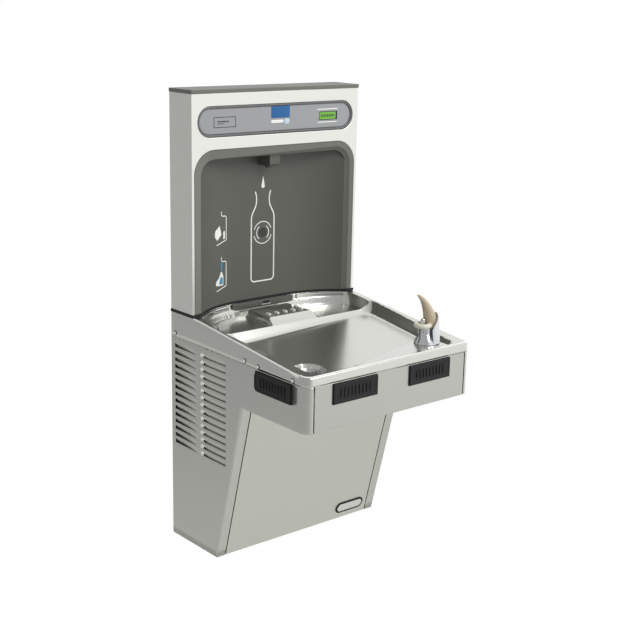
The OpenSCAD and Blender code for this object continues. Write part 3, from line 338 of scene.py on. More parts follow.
# Grained elastomer and extruded rubber: nearly black, they swallow the light
PAD = Finish("elastomer_pad_grained", "#0D0D0E", 0.62, 0.0, (0.7, 0.7, 0.7), 0.15, 0.08, 0.04)
GASKET = Finish("rubber_gasket_extruded", "#101011", 0.62, 0.0, (2, 2, 2), 0.15, 0.08, 0.05)
# Polished acrylic: black with a sharp reflection
LENS = Finish("acrylic_lens_polished", "#0B0B0D", 0.08, 0.0, (4, 4, 4), 0.1, 0.02, 0.001, 0.5)
# Printed polyester film: smooth, with a satin sheen
FILM = Finish("polyester_film_printed", "#9FA0A3", 0.3, 0.0, (0.6, 0.6, 0.6), 0.02, 0.04, 0.004)
BLUE_FILM = Finish("polyester_film_blue", "#15619E", 0.3, 0.0, (0.6, 0.6, 0.6), 0.02, 0.04, 0.004)
PALE_FILM = Finish("polyester_film_pale", "#C3D6E4", 0.3, 0.0, (0.6, 0.6, 0.6), 0.02, 0.04, 0.004)
# Screen-printed ink: dry and slightly uneven beside the film
DARK_INK = Finish("screen_ink_dark", "#2C2D31", 0.45, 0.0, (0.6, 0.6, 0.6), 0.05, 0.04, 0.004)
WHITE_INK = Finish("screen_ink_white", "#F6F6F2", 0.5, 0.0, (0.6, 0.6, 0.6), 0.02, 0.04, 0.004)
BLUE_INK = Finish("screen_ink_blue", "#3E8FB5", 0.5, 0.0, (0.6, 0.6, 0.6), 0.03, 0.04, 0.004)
# Lit film, mottled by the diffuser behind it; round it a near-black plate of painted shade in the
# recess, the same that darkens the overflow slot
DISPLAY = Lit("display_film_lit", "#62A22F", 0.25, 0.0, (1.6, 1.6, 1.6), 0.12, 0.04, 0.002, 0.2)
RECESS_SHADE = Finish("recess_painted_shade", "#1A1B1C", 0.5, 0.0, (0.9, 0.9, 0.9), 0.1, 0.05, 0.02)
# Soldered boards show small pads, and the potted coil is a dull red
BOARD = Finish("circuit_board_soldered", "#1F5A34", 0.4, 0.0, (2.5, 0.8, 2.5), 0.3, 0.1, 0.05)
COIL = Finish("valve_coil_potted", "#8C2A22", 0.4, 0.0, (1.5, 1.5, 1.5), 0.08, 0.05, 0.02)
# Drawn wire, turned brass with tool rings, and copper with a mottled tarnish
WIRE = Finish("spring_wire_drawn", "#B9B9B8", 0.22, 1.0, (3, 3, 3), 0.05, 0.05, 0.002)
BRASS = Finish("brass_turned", "#B99A52", 0.25, 1.0, (12, 12, 0.4), 0.05, 0.06, 0.004)
COPPER = Finish("copper_tube_drawn", "#B4744A", 0.3, 1.0, (9, 9, 9), 0.12, 0.1, 0.004)
# Paint and powder coat on steel: a fine orange peel
COMPRESSOR = Finish("steel_shell_painted", "#1F2022", 0.32, 0.0, (3, 3, 3), 0.1, 0.06, 0.04, 0.3)
SHROUD = Finish("steel_shroud_powder_coated", "#2E2F31", 0.55, 0.0, (1, 1, 1), 0.1, 0.06, 0.04)
MOTOR = Finish("steel_motor_painted", "#5A5C5E", 0.4, 0.0, (2, 2, 2), 0.08, 0.06, 0.03)
BOX = Finish("steel_box_powder_coated", "#8D8F90", 0.5, 0.0, (1, 1, 1), 0.05, 0.06, 0.04)
# Rolled stainless tank, brushed round
TANK = brushed("stainless_tank_rolled", "#A8AAAC", Grain.ACROSS, 0.35)

CAD_FINISHES = {
    "alcove_liner": ALCOVE,
    "filler_back_plate": GALVANISED,
    "nozzle_housing": ALCOVE,
    # The aerator takes the dark switch moulding: painted shade under the nozzle
    "aerator": SWITCH,
    "display_board": BOARD,
    "sensor_lens": LENS,
    "sensor_module": BOARD,
    "filler_valve_body": VALVE,
    "filler_valve_coil": COIL,
    "filler_plunger": POLISHED,
    "cabinet_back": GALVANISED,
    "base_pan": GALVANISED,
    "hanger_bracket": GALVANISED,
    "drain_strainer": CHROME,
    "drain_tailpiece": CHROME,
    "waste_arm": WASTE,
    "bubbler_base": CHROME,
    "bubbler_nozzle": CHROME,
    "bubbler_locknut": BRASS,
    "front_left_button": BUTTON,
    "front_right_button": BUTTON,
    "left_button": BUTTON,
    "right_button": BUTTON,
    "pad_brackets": GALVANISED,
    "pad_switches": SWITCH,
    "compressor": COMPRESSOR,
    "condenser_coil": COPPER,
    "fan_shroud": SHROUD,
    "fan_motor": MOTOR,
    "fan_blade": FAN,
    "cooling_tank": TANK,
    "water_filter": FILTER,
    "control_box": BOX,
    "refrigerant_lines": COPPER,
    "water_lines": TUBE,
}


# Shapes as arrays


def grid_quads(rows: int, cols: int, wrap_rows: bool, wrap_cols: bool) -> Array:
    """Numbers the four corners of each cell of a grid of points.

    Args:
        rows: points along the first axis.
        cols: points along the second axis.
        wrap_rows: whether the last row joins the first.
        wrap_cols: whether the last column joins the first.

    Returns:
        One row of four point numbers for each cell.
    """
    i, j = np.meshgrid(
        np.arange(rows - (not wrap_rows)), np.arange(cols - (not wrap_cols)), indexing="ij"
    )
    down, right = (i + 1) % rows, (j + 1) % cols
    corners = [i * cols + j, down * cols + j, down * cols + right, i * cols + right]
    return np.stack(corners, -1).reshape(-1, 4)


@dataclass(frozen=True)
class Place:
    """A frame in space: an origin and the directions of a shape's u, v and height."""

    origin: tuple[float, float, float]
    u: tuple[float, float, float]
    v: tuple[float, float, float]

    def put(self, u: Array, v: Array, height: Array) -> Array:
        """Turns plane coordinates and heights, in millimetres, to points in space.

        Args:
            u: places along the first axis.
            v: places along the second axis.
            height: distances out of the plane.

        Returns:
            Points of x, y and z.
        """
        across, up = np.array(self.u, float), np.array(self.v, float)
        out = np.cross(across, up)
        u, v, height = np.broadcast_arrays(u, v, height)
        return (
            np.array(self.origin, float)
            + u[..., None] * across
            + v[..., None] * up
            + height[..., None] * out
        )


def front(x: float, depth: float, z: float) -> Place:
    """A place on a face that looks to the front: u to the right, v up, height outwards."""
    return Place((x, -depth, z), (1, 0, 0), (0, 0, 1))


class Surface:
    """Gathers grids of points into one mesh."""

    def __init__(self) -> None:
        """Starts with no points and no faces."""
        self.points: list[Array] = []
        self.faces: list[list[int]] = []
        self.finish: list[int] = []
        self.count = 0

    def add(
        self,
        points: Array,
        wrap_rows: bool = False,
        wrap_cols: bool = False,
        flip: bool = False,
        keep: Optional[Array] = None,
        finish: Union[int, Array] = 0,
    ) -> None:
        """Adds a grid of points and its cells.

        Args:
            points: rows by columns by three, in millimetres.
            wrap_rows: whether the last row joins the first.
            wrap_cols: whether the last column joins the first.
            flip: whether the faces are turned round.
            keep: for each cell, whether it has a face.
            finish: the number of the material that these faces take, one for all or one a cell.
        """
        rows, cols = points.shape[:2]
        quads = grid_quads(rows, cols, wrap_rows, wrap_cols)
        numbers = np.broadcast_to(np.asarray(finish).reshape(-1), len(quads))
        if keep is not None:
            quads, numbers = quads[keep.reshape(-1)], numbers[keep.reshape(-1)]
        if flip:
            quads = quads[:, ::-1]
        self.faces += (quads + self.count).tolist()
        self.finish += numbers.tolist()
        self.points.append(points.reshape(-1, 3))
        self.count += rows * cols

    def close(self, ring: Array, flip: bool = False, finish: int = 0) -> None:
        """Closes a ring of points with triangles to its middle.

        Args:
            ring: the points, in order.
            flip: whether the faces are turned round.
            finish: the number of their material.
        """
        n = len(ring)
        i = np.arange(n)
        fan = np.stack([i, (i + 1) % n, np.full(n, n)], -1)
        if flip:
            fan = fan[:, ::-1]
        self.faces += (fan + self.count).tolist()
        self.finish += [finish] * n
        self.points.append(np.vstack([ring, ring.mean(0)]))
        self.count += n + 1

    def loft(self, rings: Array, finish: int = 0, closed: bool = True) -> None:
        """Joins rings of points, and closes both ends.

        Args:
            rings: levels by points by three; each ring runs anticlockwise about the way up.
            finish: the number of the material that these faces take.
            closed: whether the first and the last ring get an end.
        """
        self.add(rings, wrap_cols=True, flip=True, finish=finish)
        if closed:
            self.close(rings[0], flip=True, finish=finish)
            self.close(rings[-1], finish=finish)

    def build(
        self,
        name: str,
        finishes: Sequence[Finish],
        slot: str,
        replaces: Sequence[str] = (),
        body: str = ROOT,
        outwards: bool = True,
    ) -> Any:
        """Makes the object, gives it its finishes and hangs it on its body.

        Args:
            name: the piece's name.
            finishes: the finishes, in the order of their numbers.
            slot: the record's material slot; not used.
            replaces: the CAD nodes that the piece stands for.
            body: the CAD body that it rides on.
            outwards: whether the faces are turned outwards by Blender.

        Returns:
            The new object.
        """
        mesh = bpy.data.meshes.new(name)
        mesh.from_pydata((np.vstack(self.points) * MM).tolist(), [], self.faces)
        mesh.polygons.foreach_set("material_index", self.finish)
        for finish in finishes:
            mesh.materials.append(finish.material())
        work = bmesh.new()
        work.from_mesh(mesh)
        bmesh.ops.remove_doubles(work, verts=work.verts, dist=0.01 * MM)
        if outwards:
            bmesh.ops.recalc_face_normals(work, faces=work.faces)
        work.to_mesh(mesh)
        work.free()
        return settle(name, mesh, replaces, body)


def settle(name: str, mesh: Any, replaces: Sequence[str], body: str) -> Any:
    """Puts a finished mesh into the scene as a piece of the object.

    Args:
        name: the piece's name.
        mesh: its mesh, with its place in its points.
        replaces: the CAD nodes that it stands for.
        body: the CAD body that it rides on.

    Returns:
        The new object.
    """
    mesh.polygons.foreach_set("use_smooth", np.ones(len(mesh.polygons), bool))
    mesh.set_sharp_from_angle(angle=SHARP)
    piece = bpy.data.objects.new(name, mesh)
    bpy.context.collection.objects.link(piece)
    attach(piece, body)
    if replaces:
        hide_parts(*replaces)
    log.info("%s: %d faces, rides on %s", name, len(mesh.polygons), body)
    return piece


def thicken(piece: Any, thickness: float) -> None:
    """Gives a surface the thickness of its sheet, on the side away from the viewer.

    Args:
        piece: the surface's object.
        thickness: the sheet's thickness.
    """
    wall = piece.modifiers.new("sheet", "SOLIDIFY")
    wall.thickness = thickness * MM
    wall.offset = -1


def softened(
    node: str, name: str, finish: Finish, width: float, segments: int = 3
) -> Any:
    """Copies a CAD node and rounds its sharp edges, as a press brake or a mould leaves them.

    Args:
        node: the CAD node that the copy stands for.
        name: the piece's name.
        finish: its finish.
        width: the width of the rounded edge in millimetres.
        segments: the number of facets of the rounded edge.

    Returns:
        The new object.
    """
    mesh = bpy.data.meshes.new(name)
    work = bmesh.new()
    work.from_mesh(frame["nodes"][node].data)
    bmesh.ops.remove_doubles(work, verts=work.verts, dist=0.001 * MM)
    bmesh.ops.dissolve_limit(
        work, angle_limit=math.radians(0.6), verts=work.verts, edges=work.edges
    )
    work.to_mesh(mesh)
    work.free()
    mesh.materials.clear()
    mesh.materials.append(finish.material())
    mesh.polygons.foreach_set("material_index", np.zeros(len(mesh.polygons), np.int32))
    piece = settle(name, mesh, [node], body_of(frame["nodes"][node])[0])
    bevel = piece.modifiers.new("rounded_edges", "BEVEL")
    bevel.width = width * MM
    bevel.segments = segments
    bevel.limit_method = "ANGLE"
    bevel.angle_limit = math.radians(40)
    bevel.use_clamp_overlap = True
    return piece


def round_outline(width: float, height: float, radii: Sequence[float], count: int = 7) -> Array:
    """An anticlockwise rectangle with round corners about its middle.

    Args:
        width: its full width.
        height: its full height.
        radii: the radii of its lower right, upper right, upper left and lower left corners.
        count: points on each corner.

    Returns:
        The points, as count times four rows of two.
    """
    corners = []
    for k, (sx, sy) in enumerate(((1, -1), (1, 1), (-1, 1), (-1, -1))):
        r = max(radii[k], 0.001)
        turn = np.radians(np.linspace(90 * k - 90, 90 * k, count))
        centre = np.array([sx * (width / 2 - r), sy * (height / 2 - r)])
        corners.append(centre + r * np.stack([np.cos(turn), np.sin(turn)], -1))
    return np.vstack(corners)


def cushioned(
    surface: Surface,
    place: Place,
    size: tuple[float, float],
    radii: Sequence[float],
    levels: Sequence[tuple[float, float]],
    finish: int = 0,
    count: int = 7,
) -> None:
    """Adds a closed plate whose outline draws in from level to level.

    Args:
        surface: where the plate goes.
        place: its frame.
        size: its full width and height.
        radii: the radii of its four corners.
        levels: pairs of how far the outline draws in, and the height there.
        finish: the number of its material.
        count: points on each corner.
    """
    rings = []
    for inset, height in levels:
        shape = round_outline(
            size[0] - 2 * inset, size[1] - 2 * inset, [max(r - inset, 0.05) for r in radii], count
        )
        rings.append(place.put(shape[:, 0], shape[:, 1], np.float64(height)))
    surface.loft(np.stack(rings), finish)


def rolled_edge(depth: float, top: float, radius: float, steps: int = 4) -> list:
    """Levels of a plate that ends in a rounded edge.

    Args:
        depth: the height of its lower end.
        top: the height of its upper face.
        radius: the radius of the edge between its side and its upper face.
        steps: levels on the rounded edge.

    Returns:
        Pairs of the outline's inset and the height, from the lower end up.
    """
    turn = np.radians(np.linspace(0, 90, steps))
    edge = [(radius * (1 - math.cos(t)), top - radius + radius * math.sin(t)) for t in turn]
    return [(0.0, depth), *edge]


def plate(
    name: str,
    finish: Finish,
    slot: str,
    place: Place,
    size: tuple[float, float],
    radius: float,
    levels: Sequence[tuple[float, float]],
    replaces: Sequence[str] = (),
    count: int = 7,
) -> None:
    """Builds a piece that is one plate with four equal corners.

    Args:
        name: the piece's name.
        finish: its finish.
        slot: the record's material slot.
        place: its frame.
        size: its full width and height.
        radius: the radius of its corners.
        levels: pairs of inset and height.
        replaces: the CAD nodes that it stands for.
        count: points on each corner.
    """
    surface = Surface()
    cushioned(surface, place, size, [radius] * 4, levels, count=count)
    surface.build(name, [finish], slot, replaces)


def lathe(
    surface: Surface,
    profile: Sequence[tuple[float, float]],
    place: Place,
    sides: int = 48,
    finish: int = 0,
) -> None:
    """Turns a profile of radius and height about its place's axis, and closes its ends.

    Args:
        surface: where the turned shape goes.
        profile: pairs of radius and height.
        place: its frame; the height is the axis.
        sides: points round the axis.
        finish: the number of its material.
    """
    turn = np.linspace(0, 2 * np.pi, sides, endpoint=False)
    r, h = np.array(profile, float).T
    surface.loft(
        place.put(r[:, None] * np.cos(turn), r[:, None] * np.sin(turn), h[:, None] + 0 * turn),
        finish,
    )


def swept(
    surface: Surface,
    path: Array,
    across: Array,
    along: Array,
    side: Array,
    sides: int = 24,
    finish: int = 0,
) -> None:
    """Carries an ellipse along a path that lies in one plane.

    Args:
        surface: where the swept shape goes.
        path: the middle of each ellipse.
        across: each ellipse's half width along the side direction.
        along: its half width in the path's plane.
        side: the direction square to the path's plane.
        sides: points round each ellipse.
        finish: the number of its material.
    """
    tangent = np.gradient(path, axis=0)
    tangent /= np.linalg.norm(tangent, axis=1)[:, None]
    inner = np.cross(side, tangent)
    turn = np.linspace(0, 2 * np.pi, sides, endpoint=False)
    rings = (
        path[:, None]
        + across[:, None, None] * np.cos(turn)[None, :, None] * side
        + along[:, None, None] * np.sin(turn)[None, :, None] * inner[:, None]
    )
    surface.loft(rings, finish)


def smooth_max(a: Array, b: Array, r: float) -> Array:
    """The larger of two heights, with a fillet where they meet.

    Args:
        a: the one height.
        b: the other height.
        r: about how high the fillet is.

    Returns:
        The height.
    """
    h = np.clip(0.5 + 0.5 * (a - b) / r, 0, 1)
    return b * (1 - h) + a * h + r * h * (1 - h)


def smooth_min(a: Array, b: Array, r: float) -> Array:
    """The smaller of two heights, with a rounded edge about r high where they meet."""
    return -smooth_max(-a, -b, r)


def stations(*parts: tuple[float, float, float]) -> Array:
    """Places along an axis, span by span.

    Args:
        parts: for each span its start, its end and its greatest step.

    Returns:
        The places, in order.
    """
    runs = [np.linspace(a, b, int(math.ceil(abs(b - a) / step)) + 1)[:-1] for a, b, step in parts]
    return np.concatenate([*runs, [parts[-1][1]]])


# Sub-assemblies


@dataclass
class Studio:
    """The camera, the floor and the light."""

    camera_at: tuple[float, float, float] = (-1664.66, -2190.52, 1187.35)
    azimuth: float = -40.39
    elevation: float = 14.648
    roll: float = 1.2333
    lens: float = 69.12
    floor_z: float = -700.0
    floor_r: float = 2600.0
    floor_share: float = 0.985
    dim_side: tuple[float, float] = (-0.65, 0.42)
    bright_side: tuple[float, float] = (0.55, 0.97)
    lamp_at: tuple[float, float, float] = (0.6, -2.0, 2.3)
    lamp_aim: tuple[float, float, float] = (0, -0.2, 0.6)
    lamp_size: tuple[float, float] = (1.8, 1.2)
    lamp_power: float = 26.0

    def build(self) -> None:
        """Places the camera, the world's light, the lamp and the floor."""
        self.place_camera()
        self.light_world()
        self.hang_lamp()
        self.lay_floor()

    def place_camera(self) -> None:
        """Puts the camera where the photograph was taken from."""
        a, e, q = (math.radians(v) for v in (self.azimuth, self.elevation, self.roll))
        back = Vector((math.sin(a) * math.cos(e), -math.cos(a) * math.cos(e), math.sin(e)))
        right = Vector((math.cos(a), math.sin(a), 0))
        up = back.cross(right)
        local_x = right * math.cos(q) + up * math.sin(q)
        local_y = -right * math.sin(q) + up * math.cos(q)
        lens = bpy.data.cameras.new("camera")
        lens.lens = self.lens
        lens.sensor_width = 36
        lens.clip_end = 100
        camera = bpy.data.objects.new("camera", lens)
        turn = Matrix((local_x, local_y, back)).transposed().to_4x4()
        camera.matrix_world = Matrix.Translation(Vector(self.camera_at) * MM) @ turn
        bpy.context.collection.objects.link(camera)
        bpy.context.scene.camera = camera

    def seen(self, tree: Any) -> Any:
        """Gives a factor that is one where the camera looks, also through something clear.

        Args:
            tree: the world's node tree.

        Returns:
            The socket that gives the factor.
        """
        rays = add_node(tree, "ShaderNodeLightPath")
        inputs = {0: rays.outputs["Is Camera Ray"], 1: rays.outputs["Is Transmission Ray"]}
        return add_node(tree, "ShaderNodeMath", inputs, operation="MAXIMUM").outputs[0]

    def light_world(self) -> None:
        """Lights the object from all round, brighter from the right than from the left."""
        world = bpy.data.worlds.new("studio")
        bpy.context.scene.world = world
        world.use_nodes = True
        tree = world.node_tree
        tree.nodes.clear()
        way = add_node(tree, "ShaderNodeTexCoord").outputs["Generated"]
        split = add_node(tree, "ShaderNodeSeparateXYZ", {"Vector": way})
        level = add_node(
            tree,
            "ShaderNodeMapRange",
            {
                "Value": split.outputs["X"],
                "From Min": self.dim_side[0],
                "From Max": self.bright_side[0],
                "To Min": self.dim_side[1],
                "To Max": self.bright_side[1],
            },
            interpolation_type="SMOOTHSTEP",
        )
        strength = add_node(
            tree, "ShaderNodeMix", {0: self.seen(tree), 2: level.outputs[0], 3: 1.0}
        )
        light = add_node(
            tree, "ShaderNodeBackground", {"Color": (1, 1, 1, 1), "Strength": strength.outputs[0]}
        )
        add_node(tree, "ShaderNodeOutputWorld", {"Surface": light.outputs[0]})

    def hang_lamp(self) -> None:
        """Hangs one large soft lamp over the front right."""
        lamp = bpy.data.lights.new("softbox", "AREA")
        lamp.shape = "RECTANGLE"
        lamp.size, lamp.size_y = self.lamp_size
        lamp.energy = self.lamp_power
        holder = bpy.data.objects.new("softbox", lamp)
        spot, aim = Vector(self.lamp_at), Vector(self.lamp_aim)
        holder.matrix_world = Matrix.Translation(spot) @ (
            (spot - aim).to_track_quat("Z", "Y").to_matrix().to_4x4()
        )
        bpy.context.collection.objects.link(holder)

    def lay_floor(self) -> None:
        """Lays a plain pale floor far under the unit; the camera sees it as white."""
        turn = np.linspace(0, 2 * np.pi, 96, endpoint=False)
        radii = np.array([0.5, self.floor_r])[:, None]
        points = Place((0, -200, self.floor_z), (1, 0, 0), (0, 1, 0)).put(
            radii * np.cos(turn), radii * np.sin(turn), np.float64(0)
        )
        mesh = bpy.data.meshes.new("floor")
        mesh.from_pydata(
            (points.reshape(-1, 3) * MM).tolist(),
            [],
            grid_quads(2, 96, False, True)[:, ::-1].tolist(),
        )
        floor = bpy.data.objects.new("floor", mesh)
        bpy.context.collection.objects.link(floor)
        paper = bpy.data.materials.new("paper_floor_matte")
        paper.use_nodes = True
        tree = paper.node_tree
        tree.nodes.clear()
        matte = add_node(tree, "ShaderNodeBsdfDiffuse", {"Color": linear("#E6E6E3")})
        white = add_node(tree, "ShaderNodeEmission", {"Color": (1, 1, 1, 1), "Strength": 1.0})
        share = add_node(
            tree, "ShaderNodeMath", {0: self.seen(tree), 1: self.floor_share}, operation="MULTIPLY"
        )
        mixed = add_node(
            tree,
            "ShaderNodeMixShader",
            {0: share.outputs[0], 1: matte.outputs[0], 2: white.outputs[0]},
        )
        add_node(tree, "ShaderNodeOutputMaterial", {"Surface": mixed.outputs[0]})
        mesh.materials.append(paper)


@dataclass
class FillerHousing:
    """The upper casing with its cap, gasket and alcove bezel."""

    edge: float = 1.2

    def build(self) -> None:
        """Rounds the folded and moulded edges of the upper covers."""
        softened("filler_casing", "filler_casing_sheet", CASING, self.edge)
        softened("top_cap", "top_cap_moulding", CAP, self.edge)
        softened("filler_gasket", "filler_gasket_strip", GASKET, self.edge)


@dataclass
class Alcove:
    """The moulded alcove with the printed pictures on its back wall."""

    wall_d: float = 28.0
    flat_x: float = 70.0
    wall_r: float = 200.0
    line: float = 3.0
    thin_line: float = 2.0
    print_root: float = 0.02
    drop_r: float = 4.6
    drop_z: float = 781.0
    drop_pull: float = 17.0
    sensor_z: float = 676.0
    # The two rings: their radius, and the spans of degrees where they are printed
    broken_rings: tuple[tuple[float, tuple[tuple[float, float], ...]], ...] = (
        (25, ((20, 160), (195, 345))), (17, ((-50, 55), (125, 235)))
    )
    # The shelf and the spout in each of the small pictures
    pictures: tuple[tuple[float, float], ...] = ((664, 735), (561, 634))
    # Half width, top and corner radius of the bezel's edges; its right side is narrower
    bezel_outer: tuple[float, float, float] = (220.6, 876.1, 51.4)
    bezel_inner: tuple[float, float, float] = (200.9, 856.3, 36.2)
    bezel_inner_right: tuple[float, float, float] = (211.0, 864.5, 44.0)
    bezel_foot_z: float = 527.7
    bezel_d: tuple[float, float] = (81.6, 82.15)
    bezel_fall: tuple[float, float] = (6.85, 3.2)
    lift: float = 0.25

    def wall(self, x: Array) -> Array:
        """Depth of the back wall: flat in the middle, then a circle of the wall's radius."""
        beyond = np.clip(np.abs(x) - self.flat_x, 0, self.wall_r)
        return self.wall_d + self.wall_r - np.sqrt(self.wall_r**2 - beyond**2)

    def on_wall(self, x: Array, z: Array, lift: float) -> Array:
        """Points of the print on the wall, a lift in front of it."""
        return np.stack([x, -(self.wall(x) + lift), z + 0 * x], -1)

    def stroke(self, surface: Surface, path: Array, width: float, closed: bool = False) -> None:
        """Prints a line: its path widened to both sides, as a thin film on the wall.

        Args:
            surface: where the line goes.
            path: points of x and z.
            width: the line's width.
            closed: whether the line ends where it starts.
        """
        if closed:
            step = np.roll(path, -1, 0) - np.roll(path, 1, 0)
        else:
            step = np.gradient(path, axis=0)
        step /= np.linalg.norm(step, axis=1)[:, None]
        normal = np.stack([-step[:, 1], step[:, 0]], -1) * width / 2
        left, right = path + normal, path - normal
        rings = np.stack(
            [
                self.on_wall(left[:, 0], left[:, 1], self.print_root),
                self.on_wall(left[:, 0], left[:, 1], self.lift),
                self.on_wall(right[:, 0], right[:, 1], self.lift),
                self.on_wall(right[:, 0], right[:, 1], self.print_root),
            ],
            1,
        )
        surface.add(rings, wrap_rows=closed, wrap_cols=True)
        if not closed:
            surface.close(rings[0])
            surface.close(rings[-1], flip=True)

    def patch(self, surface: Surface, outline: Array, finish: int = 0) -> None:
        """Prints a filled shape, given its outline about its middle.

        Args:
            surface: where the shape goes.
            outline: points of x and z.
            finish: which of the surface's finishes it has.
        """
        levels = (self.print_root, self.lift)
        rings = np.stack([self.on_wall(outline[:, 0], outline[:, 1], h) for h in levels])
        surface.loft(rings, finish)

    def bottle(self, surface: Surface) -> None:
        """Prints the large bottle: two shoulders, a neck and an open mouth.

        Args:
            surface: where the line goes.
        """
        turn = np.radians(np.linspace(0, 90, 7))
        foot = [[32 - 9 * (1 - math.cos(t)), 574 - 9 * math.sin(t)] for t in turn]
        shoulder = [
            [32, 706], [31.5, 714], [29, 721], [25, 728], [21, 735], [18.6, 742], [18, 749],
            [18, 757], [19.5, 764], [21.5, 770],
        ]
        half = np.array(foot[::-1] + shoulder)
        half = np.vstack([np.linspace([0, 565], half[0], 5)[:-1], half])
        path = np.vstack([(half * [-1, 1])[::-1], half[1:]])
        self.stroke(surface, path, self.line)

    def drop(self, surface: Surface) -> None:
        """Prints a drop over the bottle: a half circle that draws to a point.

        Args:
            surface: where the drop goes.
        """
        turn = np.linspace(0, 2 * np.pi, 40, endpoint=False)
        pull = np.clip(np.sin(turn), 0, 1) ** 2.2
        across = self.drop_r * np.cos(turn) * (1 - 0.55 * pull)
        outline = np.stack([across, self.drop_z + self.drop_r * np.sin(turn)], -1)
        outline[:, 1] += self.drop_pull * pull
        self.patch(surface, outline)

    def rings(self, surface: Surface) -> None:
        """Prints the broken rings round the sensor.

        Args:
            surface: where the lines go.
        """
        for radius, spans in self.broken_rings:
            for a, b in spans:
                turn = np.radians(np.linspace(a, b, 24))
                path = np.stack([radius * np.cos(turn), self.sensor_z + radius * np.sin(turn)], -1)
                self.stroke(surface, path, self.thin_line)

    def small_picture(self, surface: Surface, low: float, high: float) -> None:
        """Prints a side view of the alcove: a spout, a wall and a shelf.

        Args:
            surface: where the lines go.
            low: the height of the shelf.
            high: the height of the spout.
        """
        path = np.array(
            [
                [-118, high], [-118, high - 9], [-112, high - 11], [-105, high - 11],
                [-103, high - 14], [-103, high - 30], [-103, low + 8], [-104, low + 6],
                [-120, low + 1.5], [-134, low - 2],
            ]
        )
        self.stroke(surface, path, self.thin_line)

    def arch(self, half: float, top: float, radius: float) -> Array:
        """Gives the alcove's outline, from its lower left round to its lower right.

        Args:
            half: half its width.
            top: its highest point.
            radius: the radius of its upper corners.

        Returns:
            Points of x and z.
        """
        turn = np.radians(np.linspace(180, 90, 13))
        across = radius - half + radius * np.cos(turn)
        left = np.stack([across, top - radius * (1 - np.sin(turn))], -1)
        side = np.linspace([-half, self.bezel_foot_z], left[0], 9)[:-1]
        upper = np.vstack([side, left])
        return np.vstack([upper, upper[::-1] * [-1, 1]])

    def bezel(self) -> None:
        """Builds the sloped bezel as a film over the liner's edge, from outer to inner arch."""
        outer, inner = self.arch(*self.bezel_outer), self.arch(*self.bezel_inner)
        inner = np.where(inner[:, :1] < 0, inner, self.arch(*self.bezel_inner_right))
        fall = np.where(inner[:, 0] < 0, *self.bezel_fall)
        back, face = self.bezel_d
        rings = [(outer, face), (inner, face - fall), (inner, back - fall), (outer, back)]
        points = np.stack([np.stack([p[:, 0], 0 * p[:, 0] - d, p[:, 1]], -1) for p, d in rings], 1)
        surface = Surface()
        surface.loft(points)
        surface.build("alcove_bezel", [BEZEL], "alcove_grey")

    def build(self) -> None:
        """Lays the print on the wall and fits the bezel."""
        self.bezel()
        white = Surface()
        self.bottle(white)
        self.drop(white)
        self.rings(white)
        for shelf, spout in self.pictures:
            self.small_picture(white, shelf, spout)
        # A tilted cup and its bar under the upper spout, and a flask under the lower one
        cup = np.array([[-139, 694], [-124, 704], [-118, 684], [-132, 672], [-141, 682]])
        self.patch(white, cup)
        bar = np.array([[-112, 690], [-107, 691], [-107, 674], [-112, 673]])
        self.patch(white, bar[::-1])
        flask = np.array(
            [[-137, 572], [-126, 570], [-112, 570], [-112, 590], [-116, 600], [-120, 600],
             [-126, 588], [-136, 580]]
        )
        self.patch(white, flask)
        white.build("alcove_print_white", [WHITE_INK], "display_green")
        blue = Surface()
        jet = np.array([[-117.5, 621.0], [-117.5, 612], [-117.5, 603]])
        self.stroke(blue, jet, 4.5)
        water = np.array([[-125, 573], [-114, 573], [-114, 587], [-119, 590], [-125, 584]])
        blue.loft(np.stack([self.on_wall(water[:, 0], water[:, 1], h) for h in (0.1, 0.45)]))
        blue.build("alcove_print_blue", [BLUE_INK], "badge_blue")


